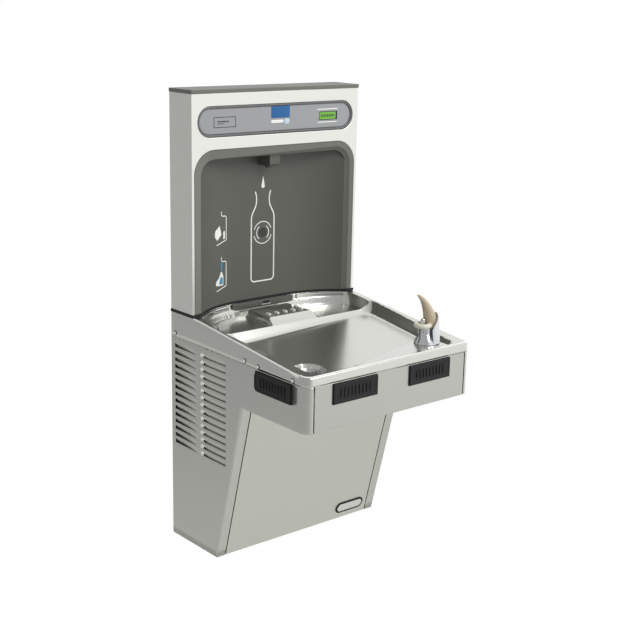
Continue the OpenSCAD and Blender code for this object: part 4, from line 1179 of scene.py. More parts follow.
@dataclass
class Fascia:
    """The panel over the alcove: trim, film, window and blank plates."""

    middle_z: float = 935.0
    face_d: float = 79.5
    width: float = 426.0
    height: float = 65.0
    rim: float = 6.0
    recess_x: float = 142.5
    window_x: float = 140.5
    bars: int = 9
    bar_x: float = 122.0
    bar_pitch: float = 4.6
    blue_at: tuple[float, float] = (6.5, 948.5)
    pale_at: tuple[float, float] = (24.0, 928.0)
    label_at: tuple[float, float] = (-142.0, 933.0)
    # Place and size of the white marks; the places of the label's lines are from its middle
    marks: tuple[tuple[float, ...], ...] = (
        (140, 949.5, 60, 2.2), (140, 920.8, 56, 2.0), (-2.5, 928.5, 34, 6.5),
    )
    label_lines: tuple[tuple[float, ...], ...] = (
        (0, 10.5, 57, 1.3), (0, -10.5, 57, 1.3), (-28, 0, 1.3, 21), (28, 0, 1.3, 21),
        (-4, 1.5, 30, 2.2), (-10, -3.0, 18, 1.2),
    )

    def build(self) -> None:
        """Builds the trim, the film and what lies on the film."""
        self.trim()
        self.film()
        self.window()
        self.plates()

    def trim(self) -> None:
        """Builds the trim as a rounded bead round the pill."""
        surface = Surface()
        turn = np.radians(np.linspace(0, 360, 17)[:-1])
        rings = []
        for t in turn:
            inset = self.rim / 2 - (self.rim / 2 - 0.3) * math.cos(t)
            depth = 78.5 + 3.3 * max(math.sin(t), -0.9)
            shape = round_outline(
                self.width - 2 * inset, self.height - 2 * inset, [self.height / 2 - inset] * 4, 16
            )
            rings.append(
                front(0, 0, self.middle_z).put(shape[:, 0], shape[:, 1], np.float64(depth))
            )
        surface.add(np.stack(rings), wrap_rows=True, wrap_cols=True)
        surface.build("fascia_trim_bead", [TRIM], "fascia_trim_grey", ["fascia_trim"])

    def film(self) -> None:
        """Builds the printed film that fills the trim, dished by a millimetre at its edge."""
        gap = self.rim + 0.2
        plate(
            "fascia_film",
            FILM,
            "fascia_grey",
            front(0, 0, self.middle_z),
            (self.width - 2 * gap, self.height - 2 * gap),
            self.height / 2 - gap,
            [(0, 77.0), (0, 78.6), (1.0, 79.4), (3, self.face_d)],
            ["fascia_panel"],
            16,
        )

    def window(self) -> None:
        """Builds the recess, a near-black plate of painted shade, and the lit window with its row
        of bars.
        """
        spot = front(self.recess_x, 0, self.middle_z)
        levels = rolled_edge(78.0, 79.9, 0.3)
        # The recess plate is painted shade round the window
        plate("display_recess", RECESS_SHADE, "sensor_black", spot, (52.5, 18.8), 1.5, levels)
        lit = Surface()
        spot, levels = self.spot(self.window_x, self.middle_z), rolled_edge(79, 80.2, 0.2)
        cushioned(lit, spot, (46.5, 15.5), [0.8] * 4, levels)
        for i in range(self.bars):
            cushioned(
                lit,
                front(self.bar_x + self.bar_pitch * i, 0, self.middle_z + 0.2),
                (2.4, 6.5),
                [0.4] * 4,
                rolled_edge(80.0, 80.4, 0.1),
                finish=1,
            )
        lit.build("display_window_lit", [DISPLAY, DARK_INK], "display_green", ["display_window"])

    def spot(self, x: float, z: float) -> Place:
        """Frame of something flat on the fascia, whose levels count from the wall."""
        return front(x, 0, z)

    def plates(self) -> None:
        """Builds the blank plates and the plain marks."""
        spot, levels = self.spot(*self.blue_at), rolled_edge(79.2, 80.3, 0.2)
        stands_for = ["fascia_badge"]
        plate(
            "fascia_plate_blue", BLUE_FILM, "badge_blue", spot, (50.5, 25), 0.8, levels, stands_for
        )
        marks = Surface()
        for x, z, w, h in self.marks:
            size, radii = (w, h), [h / 2.2] * 4
            cushioned(marks, self.spot(x, z), size, radii, rolled_edge(79.2, 79.9, 0.2))
        marks.build("fascia_marks_white", [WHITE_INK], "fascia_grey")
        spot, levels = self.spot(*self.pale_at), rolled_edge(79.2, 79.95, 0.2)
        plate("fascia_mark_pale", PALE_FILM, "badge_blue", spot, (15, 12), 5.5, levels)
        frame_line = Surface()
        x, z = self.label_at
        for dx, dz, w, h in self.label_lines:
            spot, levels = self.spot(x + dx, z + dz), rolled_edge(79.2, 79.9, 0.2)
            cushioned(frame_line, spot, (w, h), [0.4] * 4, levels)
        frame_line.build("fascia_label_outline", [DARK_INK], "fascia_grey")


@dataclass
class BasinPressing:
    """The drawn stainless basin: wings, rim, bowl, deck, shelf and drain recess."""

    half: float = 228.0
    depth: float = 468.0
    corner: float = 20.0
    rim_z: float = 484.0
    wing_z: float = 521.5
    skirt_z: float = 463.5
    shelf_z: float = 493.0
    sheet: float = 1.2
    drain: tuple[float, float, float] = (-135.0, 363.0, 446.0)
    drain_r: float = 37.0
    bubbler: tuple[float, float] = (140.0, 417.0)
    wing_fall: tuple[float, float] = (92.0, 431.0)
    # Half width, rear, front and corner radius of the bowl at its foot, and what they gain
    bowl_foot: tuple[float, ...] = (165, 206, 440, 22)
    bowl_gain: tuple[float, ...] = (69, -75, 35, 12)
    bowl_z: float = 440.0
    bowl_rise: float = 90.0
    floor_fall: float = 0.0998
    floor_lean: float = 0.0367
    # Start, end and step of the grid's stretches, across and from the wall
    across: tuple[tuple[float, float, float], ...] = (
        (-228, -222, 1.0), (-222, -180, 1.8), (-180, -92, 2.2), (-92, 92, 2.6),
        (92, 180, 2.2), (180, 222, 1.8), (222, 228, 1.0),
    )
    down: tuple[tuple[float, float, float], ...] = (
        (0, 26, 5), (26, 82, 1.8), (82, 148, 5), (148, 178, 1.5), (178, 318, 5),
        (318, 402, 2.4), (402, 462, 1.8), (462, 468, 0.9),
    )
    # The painted highlight along the rim: how far it lies from the edge at the sides and in front
    bright_side: float = 2.6
    bright_front: tuple[float, float] = (3.0, 6.0)
    bright_front_d: float = 440.0

    def wing(self, d: Array) -> Array:
        """Height of the wings: level at the rear, then a straight fall to the rim.

        Args:
            d: distances from the wall.

        Returns:
            The heights.
        """
        start, end = self.wing_fall
        fall = self.wing_z + (self.rim_z - self.wing_z) * (d - start) / (end - start)
        return smooth_max(smooth_min(np.full_like(d, self.wing_z), fall, 3), self.rim_z, 2.5)

    def bowl_wall(self, x: Array, d: Array) -> Array:
        """Height of the bowl's wall over a point, found by halving.

        The wall joins a rounded rectangle at height 440 to a larger one at 530. At each
        height the outline is in between, and the wall is where the outline meets the point.

        Args:
            x: places across.
            d: depths from the wall.

        Returns:
            The heights.
        """
        low, high = np.full_like(x, -2.5), np.full_like(x, 2.0)
        for _ in range(22):
            t = (low + high) / 2
            half, rear, fore, r = (a + b * t for a, b in zip(self.bowl_foot, self.bowl_gain))
            r = np.clip(r, 4, 60)
            qx = np.abs(x) - (half - r)
            qd = np.abs(d - (rear + fore) / 2) - ((fore - rear) / 2 - r)
            outside = np.hypot(np.maximum(qx, 0), np.maximum(qd, 0))
            gap = outside + np.minimum(np.maximum(qx, qd), 0) - r
            low, high = np.where(gap > 0, t, low), np.where(gap > 0, high, t)
        return self.bowl_z + self.bowl_rise / 2 * (low + high)

    def deck(self, x: Array, d: Array) -> Array:
        """Height of the deck that carries the bubbler: level, with steep sides.

        Its outline is a band about two segments, one to the front rim and one along the
        rim to the left, whose half width shrinks from 30 to 15.

        Args:
            x: places across.
            d: depths from the wall.

        Returns:
            The heights.
        """
        bx, bd = self.bubbler
        along = np.clip((d - bd) / (self.depth - bd), 0, 1)
        to_front = np.hypot(x - bx, d - bd - along * (self.depth - bd)) - 30
        reach, run = -self.half, self.depth - bd
        t = np.clip(((x - bx) * reach + (d - bd) * run) / (reach**2 + run**2), 0, 1)
        to_left = np.hypot(x - bx - t * reach, d - bd - t * run) - (30 - 15 * t)
        gap = smooth_min(to_front, to_left, 8)
        return np.minimum(self.rim_z + 0 * gap, self.rim_z - 6.5 * gap)

    def shelf(self, x: Array, d: Array) -> Array:
        """Height of the shelf behind the bowl, up to the curve of the alcove.

        Args:
            x: places across.
            d: depths from the wall.

        Returns:
            The heights.
        """
        beside = np.clip(np.abs(x) - 70, 0, None)
        gap = np.hypot(beside, d - 228) - 200
        gap = np.where(d < 228, gap, -200)
        rise = np.clip((gap + 9) / 5, 0, 1)
        step = np.clip((gap + 1) / 1.5, 0, 1)
        level = self.shelf_z + 17 * rise * rise * (3 - 2 * rise) + 14 * step
        sides = np.clip((np.abs(x) - 209) / 3, 0, 1) * 40
        return level + sides + 7 * np.clip(d - 157, 0, None)

    def height(self, x: Array, d: Array) -> Array:
        """Height of the pressing over each point of the plan.

        Args:
            x: places across.
            d: depths from the wall.

        Returns:
            The heights.
        """
        half, rear = self.bowl_foot[:2]
        floor = self.rim_z + self.floor_fall * (rear - d) + self.floor_lean * (x - half)
        inside = smooth_max(self.bowl_wall(x, d), floor, 6)
        inside = smooth_max(inside, self.deck(x, d), 4)
        to_drain = np.hypot(x - self.drain[0], d - self.drain[1])
        recess = self.drain[2] + 5 * np.clip(to_drain - (self.drain_r - 3), 0, None)
        inside = smooth_min(inside, recess, 3)
        inside = np.minimum(inside, self.shelf(x, d))
        top = self.wing(d)
        body = smooth_min(top, inside, 1.8)
        edge = self.edge_gap(x, d)
        front_r = 7 - 4.5 * np.clip((440 - d) / 30, 0, 1)
        inner = np.clip(front_r - edge, 0, front_r)
        return body - (front_r - np.sqrt(front_r**2 - inner**2))

    def edge_gap(self, x: Array, d: Array) -> Array:
        """Distance from a point of the plan to its outline, which is round at the front.

        Args:
            x: places across.
            d: depths from the wall.

        Returns:
            The distances, positive inside.
        """
        r = self.corner
        qx, qd = np.abs(x) - (self.half - r), d - (self.depth - r)
        outside = np.hypot(np.maximum(qx, 0), np.maximum(qd, 0))
        return r - outside - np.minimum(np.maximum(qx, qd), 0)

    def build(self) -> None:
        """Builds the pressing as a height over its plan, with a skirt round it."""
        across, down = stations(*self.across), stations(*self.down)
        d, share = np.meshgrid(down, across / self.half, indexing="ij")
        over = np.clip(d - (self.depth - self.corner), 0, self.corner)
        widest = self.half - self.corner + np.sqrt(self.corner**2 - over**2)
        x = share * widest
        z = self.height(x, d)
        surface = Surface()
        gap = self.edge_gap(x, d)
        middle = (gap[1:, 1:] + gap[:-1, :-1]) / 2
        depths = (d[1:, 1:] + d[:-1, :-1]) / 2
        at_front, (near, far) = depths > self.bright_front_d, self.bright_front
        at_side = (middle < self.bright_side) & (depths < self.bright_front_d)
        # Cells near the rim take the near-white finish: a painted highlight
        rim_highlight_cells = at_side | ((middle > near) & (middle < far) & at_front)
        surface.add(np.stack([x, -d, z], -1), finish=rim_highlight_cells.astype(int))
        # The skirt drops from the outline to the seam, along the rear, sides and front
        outline = np.concatenate(
            [
                np.stack([x[:, 0], -d[:, 0], z[:, 0]], -1),
                np.stack([x[-1, 1:], -d[-1, 1:], z[-1, 1:]], -1),
                np.stack([x[::-1, -1], -d[::-1, -1], z[::-1, -1]], -1)[1:],
            ]
        )
        levels = np.linspace(0, 1, 5)[:, None]
        skirt = np.repeat(outline[None], 5, 0)
        skirt[..., 2] = outline[:, 2] * (1 - levels) + self.skirt_z * levels
        surface.add(skirt, flip=True)
        piece = surface.build("basin_pressing", [BASIN, RIM_HIGHLIGHT], "cabinet_steel", ["basin"])
        thicken(piece, self.sheet)


@dataclass
class ShelfFittings:
    """What stands on the shelf: the bottle platform, its pegs and the rear bands."""

    top_z: float = 510.0
    foot_z: float = 493.2
    end_x: float = 53.0
    end_run: float = 13.0
    pegs: int = 5
    peg_pitch: float = 23.0
    peg_d: float = 112.0
    ledge_r: float = 197.5
    ledge_x: float = 70.0
    ledge_d: float = 228.0
    ledge_span: tuple[float, float] = (8.0, 41.5)

    def build(self) -> None:
        """Builds the platform, the pegs, the two bands and the dark skirt between them, which is
        painted shade.
        """
        self.platform()
        self.bands()

    def platform(self) -> None:
        """Builds the platform: a level top that rolls over into a slope to the ridge."""
        turn = np.radians(np.linspace(0, 60, 6))
        roll = [(128 + 7 * math.sin(t), self.top_z - 7 + 7 * math.cos(t)) for t in turn]
        profile = np.array([(50, self.foot_z), (50, self.top_z - 3), (53, self.top_z), *roll,
                            (152, 494.5), (152.5, self.foot_z)])
        # Along x the section sinks at both ends on a smooth ramp
        ends = np.linspace(0, 1, 13)
        edge = self.end_x + self.end_run * ends
        x = np.concatenate([-edge[::-1], edge])
        ramp = 0.5 + 0.5 * np.cos(np.pi * ends)
        squash = np.concatenate([ramp[::-1], ramp])
        d = profile[:, 0][:, None] * np.ones(len(x))
        z = self.foot_z + (profile[:, 1][:, None] - self.foot_z) * squash
        slope_out = np.clip((d - 122) / 30, 0, 1) * 9 * np.sign(x)
        surface = Surface()
        points = np.stack([x + slope_out, -d, z], -1)
        surface.add(points, wrap_rows=True)
        surface.build("bottle_platform_pressing", [BASIN], "casing_steel", ["bottle_platform"])
        # The pegs' near-white colour is a painted highlight
        pegs = Surface()
        for i in range(self.pegs):
            x = self.peg_pitch * (i - (self.pegs - 1) / 2)
            cushioned(
                pegs,
                Place((x, -self.peg_d, self.top_z - 1.0), (1, 0, 0), (0, 1, 0)),
                (6, 15),
                [2.9] * 4,
                rolled_edge(-1, 4.2, 2.4, 5),
            )
        pegs.build("bottle_platform_pegs", [PEG_GLINT], "chrome")

    def bands(self) -> None:
        """Builds the bright ledges beside the middle and, in the middle, a dark skirt and slot of
        painted shade.
        """
        ledges = Surface()
        for side in Side:
            turn = np.radians(np.linspace(*self.ledge_span, 26))
            x = side.value * (self.ledge_x + self.ledge_r * np.sin(turn))
            d = self.ledge_d - self.ledge_r * np.cos(turn)
            section = np.array([(0, 509), (2.4, 509.6), (2.8, 511), (1.2, 512.4), (1.2, 517),
                                (2.8, 518.4), (2.4, 520.2), (0, 520.8)])
            inward = np.stack([-side.value * np.sin(turn), -np.cos(turn)], -1)
            rings = np.stack(
                [
                    x[:, None] + inward[:, :1] * section[:, 0],
                    -d[:, None] + inward[:, 1:] * section[:, 0],
                    np.ones((len(x), 1)) * section[:, 1],
                ],
                -1,
            )
            ledges.loft(rings)
        ledges.build("rear_ledges", [POLISHED], "casing_steel")
        # The skirt is a dark sheet of painted shade where the riser lies in shadow; the slot is a
        # near-black plate of painted shade
        for name, finish, slot, x, z, size, radius, levels in (
            ("rear_shade_skirt", ALCOVE, "alcove_grey", 0, 508.5, (174, 25), 3, (28.5, 33.5, 1.5)),
            ("rear_overflow_shade_plate", RECESS_SHADE, "sensor_black", 8, 515, (20, 6.5), 3, (33, 33.8, 0.3)),
            ("rear_overflow_lip", POLISHED, "chrome", 8, 510.8, (26, 2.2), 1, (33, 34.6, 0.8)),
        ):
            plate(name, finish, slot, front(x, 0, z), size, radius, rolled_edge(*levels))


@dataclass
class Bubbler:
    """The drinking spout's guard, collar and the shell behind them."""

    x: float = 140.0
    d: float = 417.0
    rim_z: float = 484.0
    foot_r: float = 26.0
    shell_span: tuple[float, float] = (-104.0, 96.0)
    shell_h: tuple[float, float] = (31.0, 33.0)
    shell_r: float = 26.5
    shell_taper: float = 2.5
    shell_t: float = 2.0
    facets: int = 9
    facet_share: float = 0.035
    flutes: int = 34
    flute_h: float = 0.4
    collar_r: tuple[float, float] = (5.6, 5.4)
    collar: tuple[float, float, float] = (130.0, 524.2, 14.2)

    def build(self) -> None:
        """Builds the flared foot, the fluted shell, the collar and the horn."""
        self.foot()
        self.shell()
        self.horn()

    def foot(self) -> None:
        """Builds the foot and column: a facetted flare under a plain chromed tube."""
        surface = Surface()
        profile = np.array(
            [(26, 484.1), (26, 486), (24.5, 489), (20, 497), (17.2, 503), (15.6, 505), (15.4, 508),
             (15.4, 518.2), (5.0, 518.2), (5.0, 484.1)]
        )
        turn = np.linspace(0, 2 * np.pi, 72, endpoint=False)
        facet = 1 + self.facet_share * np.cos(self.facets * turn)
        r = np.where(
            (profile[:, 1] < 503)[:, None] & (profile[:, 0] > 10)[:, None],
            profile[:, :1] * facet,
            profile[:, :1],
        )
        r = np.minimum(r, self.foot_r)
        rings = np.stack(
            [self.x + r * np.cos(turn), -self.d + r * np.sin(turn), profile[:, 1:] + 0 * turn], -1
        )
        surface.add(rings, wrap_cols=True, wrap_rows=True, flip=True)
        shank = Surface()
        lathe(
            shank,
            [(5, 484), (8, 484), (8, 456), (5, 456)],
            Place((self.x, -self.d, 0), (1, 0, 0), (0, 1, 0)),
        )
        shank.build("bubbler_shank", [BRASS], "brass")
        surface.build("bubbler_column", [CHROME], "chrome", ["bubbler_base"])

    def shell(self) -> None:
        """Builds the shell round the rear right, with shallow flutes down its face; its light tone
        is a painted highlight.
        """
        turn = np.radians(np.linspace(*self.shell_span, 96))
        share = np.linspace(0, 1, 14)[:, None]
        arc = np.clip(np.sin((turn - turn[0]) / (turn[-1] - turn[0]) * np.pi), 0, 1)
        top = self.shell_h[0] + self.shell_h[1] * arc**0.8
        flute = self.flute_h * np.cos(self.flutes * turn)
        outer = self.shell_r - self.shell_taper * share + flute
        z = self.rim_z + 1 + share * (top - 1)
        middle = self.x + 5.5 - self.shell_taper * share
        rows = [
            np.stack([middle + radius * np.cos(turn), -self.d + radius * np.sin(turn), z], -1)
            for radius in (outer, outer - self.shell_t)
        ]
        ring = np.concatenate([rows[0], rows[1][::-1]], 0)
        surface = Surface()
        surface.add(ring, wrap_rows=True)
        surface.close(ring[:, 0])
        surface.close(ring[:, -1])
        surface.build("bubbler_shell", [SHELL_HIGHLIGHT], "chrome")

    def horn(self) -> None:
        """Builds the collar as a ring and the horn as an ellipse along a curve."""
        surface = Surface()
        turn = np.linspace(0, 2 * np.pi, 40, endpoint=False)
        around = np.linspace(0, 2 * np.pi, 16, endpoint=False)
        x, z, r = self.collar
        radius = r + self.collar_r[0] * np.cos(around)[:, None] + 0 * turn
        height = z + self.collar_r[1] * np.sin(around)[:, None] + 0 * turn
        ring = np.stack([x + radius * np.cos(turn), -self.d + radius * np.sin(turn), height], -1)
        surface.add(ring, wrap_rows=True, wrap_cols=True, flip=True, finish=1)
        knots = np.array(
            [
                (153.0, 519.5, 17.5, 15.0), (151.5, 530.0, 16.0, 14.2), (148.0, 543.0, 13.8, 12.5),
                (142.5, 556.0, 11.6, 10.4), (135.5, 568.0, 9.2, 8.0), (127.5, 578.5, 6.8, 5.6),
                (119.5, 586.5, 4.6, 3.8), (113.0, 591.0, 2.6, 2.2), (110.6, 592.2, 1.2, 1.1),
            ]
        )
        fine = np.linspace(0, len(knots) - 1, 60)
        base = np.clip(fine.astype(int), 0, len(knots) - 2)
        t = (fine - base)[:, None]
        slope = np.gradient(knots, axis=0)
        a, b = knots[base], knots[base + 1]
        curve = (
            (2 * t**3 - 3 * t**2 + 1) * a
            + (t**3 - 2 * t**2 + t) * slope[base]
            + (3 * t**2 - 2 * t**3) * b
            + (t**3 - t**2) * slope[base + 1]
        )
        path = np.stack([curve[:, 0], np.full(len(curve), -self.d), curve[:, 1]], -1)
        swept(surface, path, curve[:, 2], curve[:, 3], np.array([0.0, 1.0, 0.0]), 32)
        surface.build("bubbler_horn", [GUARD, COLLAR], "guard_beige", ["bubbler_guard"])


@dataclass
class CabinetCovers:
    """The side sheets with their louvres, the front sheets and the screws."""

    half: float = 228.0
    foot_d: float = 171.0
    shoulder_d: float = 264.0
    apron_d: float = 468.0
    apron_z: float = 368.0
    top_z: float = 463.2
    corner: float = 20.0
    rows: int = 15
    pitch: float = 15.8
    first_slit: float = 443.0
    scoop_h: float = 10.0
    sheet: float = 1.0
    rear_louvre: tuple[float, float] = (13.0, 97.0)
    front_louvre: tuple[float, float] = (121.0, 203.0)
    pad_hole: tuple[float, float, float, float] = (303.2, 421.6, 418.0, 461.0)
    straight_d: float = 205.0
    screws_at: tuple[tuple[float, float], ...] = ((15, 475), (268, 472), (313, 470), (424, 469))
    hood_r: float = 4.6
    hood_run: float = 9.0
    hood_out: float = 4.4
    bend: float = 2.0
    seam: float = 2.7

    def edge(self, z: Array) -> Array:
        """Depth of the sloped front at a height."""
        share = np.clip(z / self.apron_z, 0, 1)
        return self.foot_d + (self.shoulder_d - self.foot_d) * share

    def build(self) -> None:
        """Builds both side sheets, the front sheets, the badge and the screws."""
        for side in Side:
            self.side_sheet(side)
        softened("front_apron", "front_apron_sheet", CABINET, 1.1)
        self.front_sheet()
        self.badge()
        self.screws()

    def louvre_depth(self, d: Array) -> Array:
        """How deep the scoops reach along the depth: open at the rear, closed in front.

        Args:
            d: depths from the wall.

        Returns:
            How far the sheet dips inwards there.
        """
        (r0, r1), (f0, f1) = self.rear_louvre, self.front_louvre
        rear = 4.4 * np.clip((r1 - d) / (r1 - r0), 0, 1) ** 0.55 * (d > r0 + 0.2)
        start = np.clip((d - f0) / 2, 0, 1)
        end = np.clip((f1 - 1 - d) / 8, 0, 1)
        deep = 2.5 + 1.4 * np.exp(-np.clip(d - f0, 0, None) / 7)
        fore = deep * start * np.sqrt(end * (2 - end))
        return np.where(d < (r1 + f0) / 2, rear, fore) * ((d > r0) & (d < f1))

    def slits(self) -> Array:
        """Heights of the slits, from the lowest up."""
        return self.first_slit - self.pitch * np.arange(self.rows)[::-1]

    def over_slit(self, z: Array) -> Array:
        """Height over the next slit below, or negative under the lowest one."""
        slits = self.slits()
        return z - slits[np.clip(np.searchsorted(slits, z + 1e-6) - 1, 0, self.rows - 1)]

    def columns(self) -> Array:
        """Places the grid's columns, close together where the louvres bend the sheet.

        Returns:
            Their distances from the wall.
        """
        (r0, r1), (f0, f1) = self.rear_louvre, self.front_louvre
        parts = [
            stations((0, r0, 7), (r0, r0 + 0.4, 1), (r0 + 0.4, r0 + 7, 1.6), (r0 + 7, r1, 7)),
            stations((r1 + 6, f0 - 10, 8), (f0 - 10, f0, 1), (f0, f0 + 2, 2)),
            stations((f0 + 2, f0 + 12, 1.4), (f0 + 12, f1 - 11, 10), (f1 - 11, f1, 1.4)),
            stations((self.straight_d, self.shoulder_d, 15), (self.shoulder_d, 304, 10)),
            [*self.pad_hole[:2], 363.0, self.apron_d - self.corner],
        ]
        return np.unique(np.round(np.concatenate(parts), 3))

    def levels(self) -> Array:
        """Places the grid's rows: every slit, the scoop over it, and the folds.

        Returns:
            Their heights.
        """
        steps = np.array([0.0, 0.02, 0.8, 2.0, 3.8, 6.2, 8.4, self.scoop_h])
        louvred = (self.slits()[:, None] + steps).reshape(-1)
        plain = np.linspace(0, louvred[0] - 3, 10)
        folds = [self.apron_z, *self.pad_hole[2:], 454, 457.5, self.top_z]
        return np.unique(np.concatenate([plain, louvred, folds]))

    def hoods(self, depth: Array, height: Array) -> Array:
        """Share of the full rise of the hoods at the rear ends of the front louvres.

        A hood is a quarter of an ellipsoid that is cut off square in front.

        Args:
            depth: depths from the wall.
            height: heights.

        Returns:
            Zero on the plain sheet, and one at a hood's crown.
        """
        end = self.front_louvre[0]
        crown = np.clip(1 - ((self.over_slit(height) - self.hood_r) / self.hood_r) ** 2, 0, 1)
        crown = crown * (height > self.slits()[0] - 2)
        ramp = np.clip(1 - ((end - depth) / self.hood_run) ** 2, 0, 1) * (depth < end + 0.1)
        return np.sqrt(crown * ramp)

    def inset(self, depth: Array, height: Array) -> Array:
        """How far the sheet lies inside its plane; the hoods make it negative.

        Args:
            depth: depths from the wall.
            height: heights.

        Returns:
            The distances.
        """
        over = self.over_slit(height)
        scooped = (over > 0.01) & (over < self.scoop_h) & (height > self.slits()[0])
        wave = np.cos(np.pi / 2 * np.clip(over / self.scoop_h, 0, 1)) ** 1.2
        scoop = np.where(scooped, wave, 0) * self.louvre_depth(depth)
        return scoop - self.hood_out * self.hoods(depth, height)

    def placed(self, depth: Array, height: Array) -> Array:
        """Draws the columns in so that the last ones follow the sloped front.

        Args:
            depth: the grid's depths.
            height: the grid's heights.

        Returns:
            The depths of the points.
        """
        edge, low, start = self.edge(height), self.slits()[0] - 2, self.straight_d
        lowest = self.edge(np.float64(low))
        reach = np.where(height < low, lowest, edge)
        beyond = np.clip((depth - start) / (self.shoulder_d - start), 0, None)
        sloped = height < self.apron_z
        moved = np.where((depth > start) & sloped, start + beyond * (reach - start), depth)
        return np.where(sloped, moved * np.where(height < low, edge / lowest, 1), moved)

    def kept(self, d: Array, z: Array) -> Array:
        """Says which cells have sheet: not the slits, nor the hole for the pad.

        Args:
            d: depths of the columns.
            z: heights of the rows.

        Returns:
            True or false for each cell.
        """
        dd, zz = np.meshgrid((d[1:] + d[:-1]) / 2, (z[1:] + z[:-1]) / 2, indexing="xy")
        over, louvred, rear = self.over_slit(zz), zz > self.slits()[0], self.rear_louvre[0]
        lip_gap = (over > 0) & (over < 0.02) & (self.louvre_depth(dd) > 0.2)
        rear_end = (dd > rear) & (dd < rear + 0.4) & (over > 0.02) & (over < 7.5)
        d0, d1, z0, z1 = self.pad_hole
        pad = (dd > d0) & (dd < d1) & (zz > z0) & (zz < z1)
        on_sheet = (zz > self.apron_z) | (dd < self.shoulder_d)
        return on_sheet & ~(louvred & (lip_gap | rear_end)) & ~pad

    def side_sheet(self, side: Side) -> None:
        """Builds one side sheet as a grid over its depth and height.

        Over each slit the sheet dips inwards on a quarter wave, so that the lip lies behind
        the sheet below it, and the cells between the two are left open.

        Args:
            side: the side of the unit.
        """
        d, z = self.columns(), self.levels()
        depth, height = np.meshgrid(d, z, indexing="xy")
        x = side.value * (self.half - self.inset(depth, height))
        hoods = self.hoods(depth, height)
        # Cells on the hoods' crowns take the glint steel: a painted highlight
        glint_cells = (hoods[1:, 1:] + hoods[:-1, :-1] + hoods[1:, :-1] + hoods[:-1, 1:]) > 1.0
        surface = Surface()
        flip = side is Side.LEFT
        points = np.stack([x, -self.placed(depth, height), height], -1)
        surface.add(points, keep=self.kept(d, z), flip=flip, finish=glint_cells.astype(int))
        rear_x, rear_z = np.meshgrid(side.value * np.array([204.0, 216.0, self.half]), z)
        surface.add(np.stack([rear_x, 0 * rear_x, rear_z], -1), flip=flip)
        self.add_corner(surface, side, z[z >= self.apron_z], flip)
        self.add_flange(surface, side, z[z <= self.apron_z], flip)
        name = side.name.lower()
        piece = surface.build(
            f"{name}_side_sheet",
            [CABINET_SIDE, GLINT_STEEL],
            "cabinet_steel",
            [f"{name}_side_panel"],
            outwards=False,
        )
        thicken(piece, self.sheet)

    def add_corner(self, surface: Surface, side: Side, z: Array, flip: bool) -> None:
        """Adds the quarter round that turns the side sheet to the front of the apron.

        Args:
            surface: where the faces go.
            side: the side of the unit.
            z: the heights of its rows.
            flip: whether the faces are turned round.
        """
        turn = np.radians(np.linspace(0, 90, 13))
        centre_x, centre_d = self.half - self.corner, self.apron_d - self.corner
        ends = [centre_x + self.seam, centre_x + self.seam - 0.3, centre_x + self.seam - 0.3]
        x = side.value * np.concatenate([centre_x + self.corner * np.cos(turn[:-2]), ends])
        folds = [self.apron_d - 0.25, self.apron_d - 0.8, self.apron_d - 7]
        d = np.concatenate([centre_d + self.corner * np.sin(turn[:-2]), folds])
        xs, zs = np.meshgrid(x, z)
        ds, _ = np.meshgrid(d, z)
        surface.add(np.stack([xs, -ds, zs], -1), flip=flip)

    def add_flange(self, surface: Surface, side: Side, z: Array, flip: bool) -> None:
        """Adds the flange beside the sloped front, folded with a small radius.

        Args:
            surface: where the faces go.
            side: the side of the unit.
            z: the heights of its rows.
            flip: whether the faces are turned round.
        """
        turn = np.radians(np.linspace(0, 90, 6))
        bent = self.half - self.bend + self.bend * np.cos(turn)
        x = np.concatenate([bent, [214.0, 207.0, 206.2, 206.0]])
        fold = np.concatenate([self.bend * (np.sin(turn) - 1), [0, 0, -0.4, -1.4]])
        xs, zs = np.meshgrid(side.value * x, z)
        folds, _ = np.meshgrid(fold, z)
        surface.add(np.stack([xs, -(self.edge(zs) + folds), zs], -1), flip=flip)

    def on_slope(self, x: float, rise: float) -> Place:
        """Gives a place on the sloped front, with u to the right and v up the slope.

        Args:
            x: its place across.
            rise: its distance from the foot, measured along the slope.

        Returns:
            The place.
        """
        up = np.array([0.0, self.foot_d - self.shoulder_d, self.apron_z])
        up /= np.linalg.norm(up)
        return Place((x, *(np.array([-self.foot_d, 0.0]) + rise * up[1:])), (1, 0, 0), tuple(up))

    def front_sheet(self) -> None:
        """Builds the sloped front sheet with its edges turned in beside the flanges."""
        length = math.hypot(self.shoulder_d - self.foot_d, self.apron_z)
        # The sloped front takes the lighter copy of the cabinet steel: painted light for the slope
        plate(
            "front_panel_sheet",
            CABINET_FRONT_LIGHTENED,
            "cabinet_steel",
            self.on_slope(0, length / 2),
            (407.5, length),
            0.6,
            rolled_edge(-1.4, 0.0, 0.9, 5),
            ["front_panel"],
        )

    def badge(self) -> None:
        """Builds the blank badge: a black pill with a polished one inside it."""
        place = self.on_slope(150.0, 29.0)
        surface = Surface()
        cushioned(surface, place, (84, 28.5), [14.2] * 4, rolled_edge(0, 1.6, 0.9), count=12)
        cushioned(
            surface, place, (74.5, 19), [9.5] * 4, rolled_edge(1, 2.2, 0.9), finish=1, count=12
        )
        surface.build("badge_pill", [PAD, POLISHED], "chrome", ["badge_plate"])

    def screws(self) -> None:
        """Builds the pan-headed screws along the top of both sides: glint-steel heads with a
        painted highlight, each on a dark ring of painted shadow.
        """
        surface = Surface()
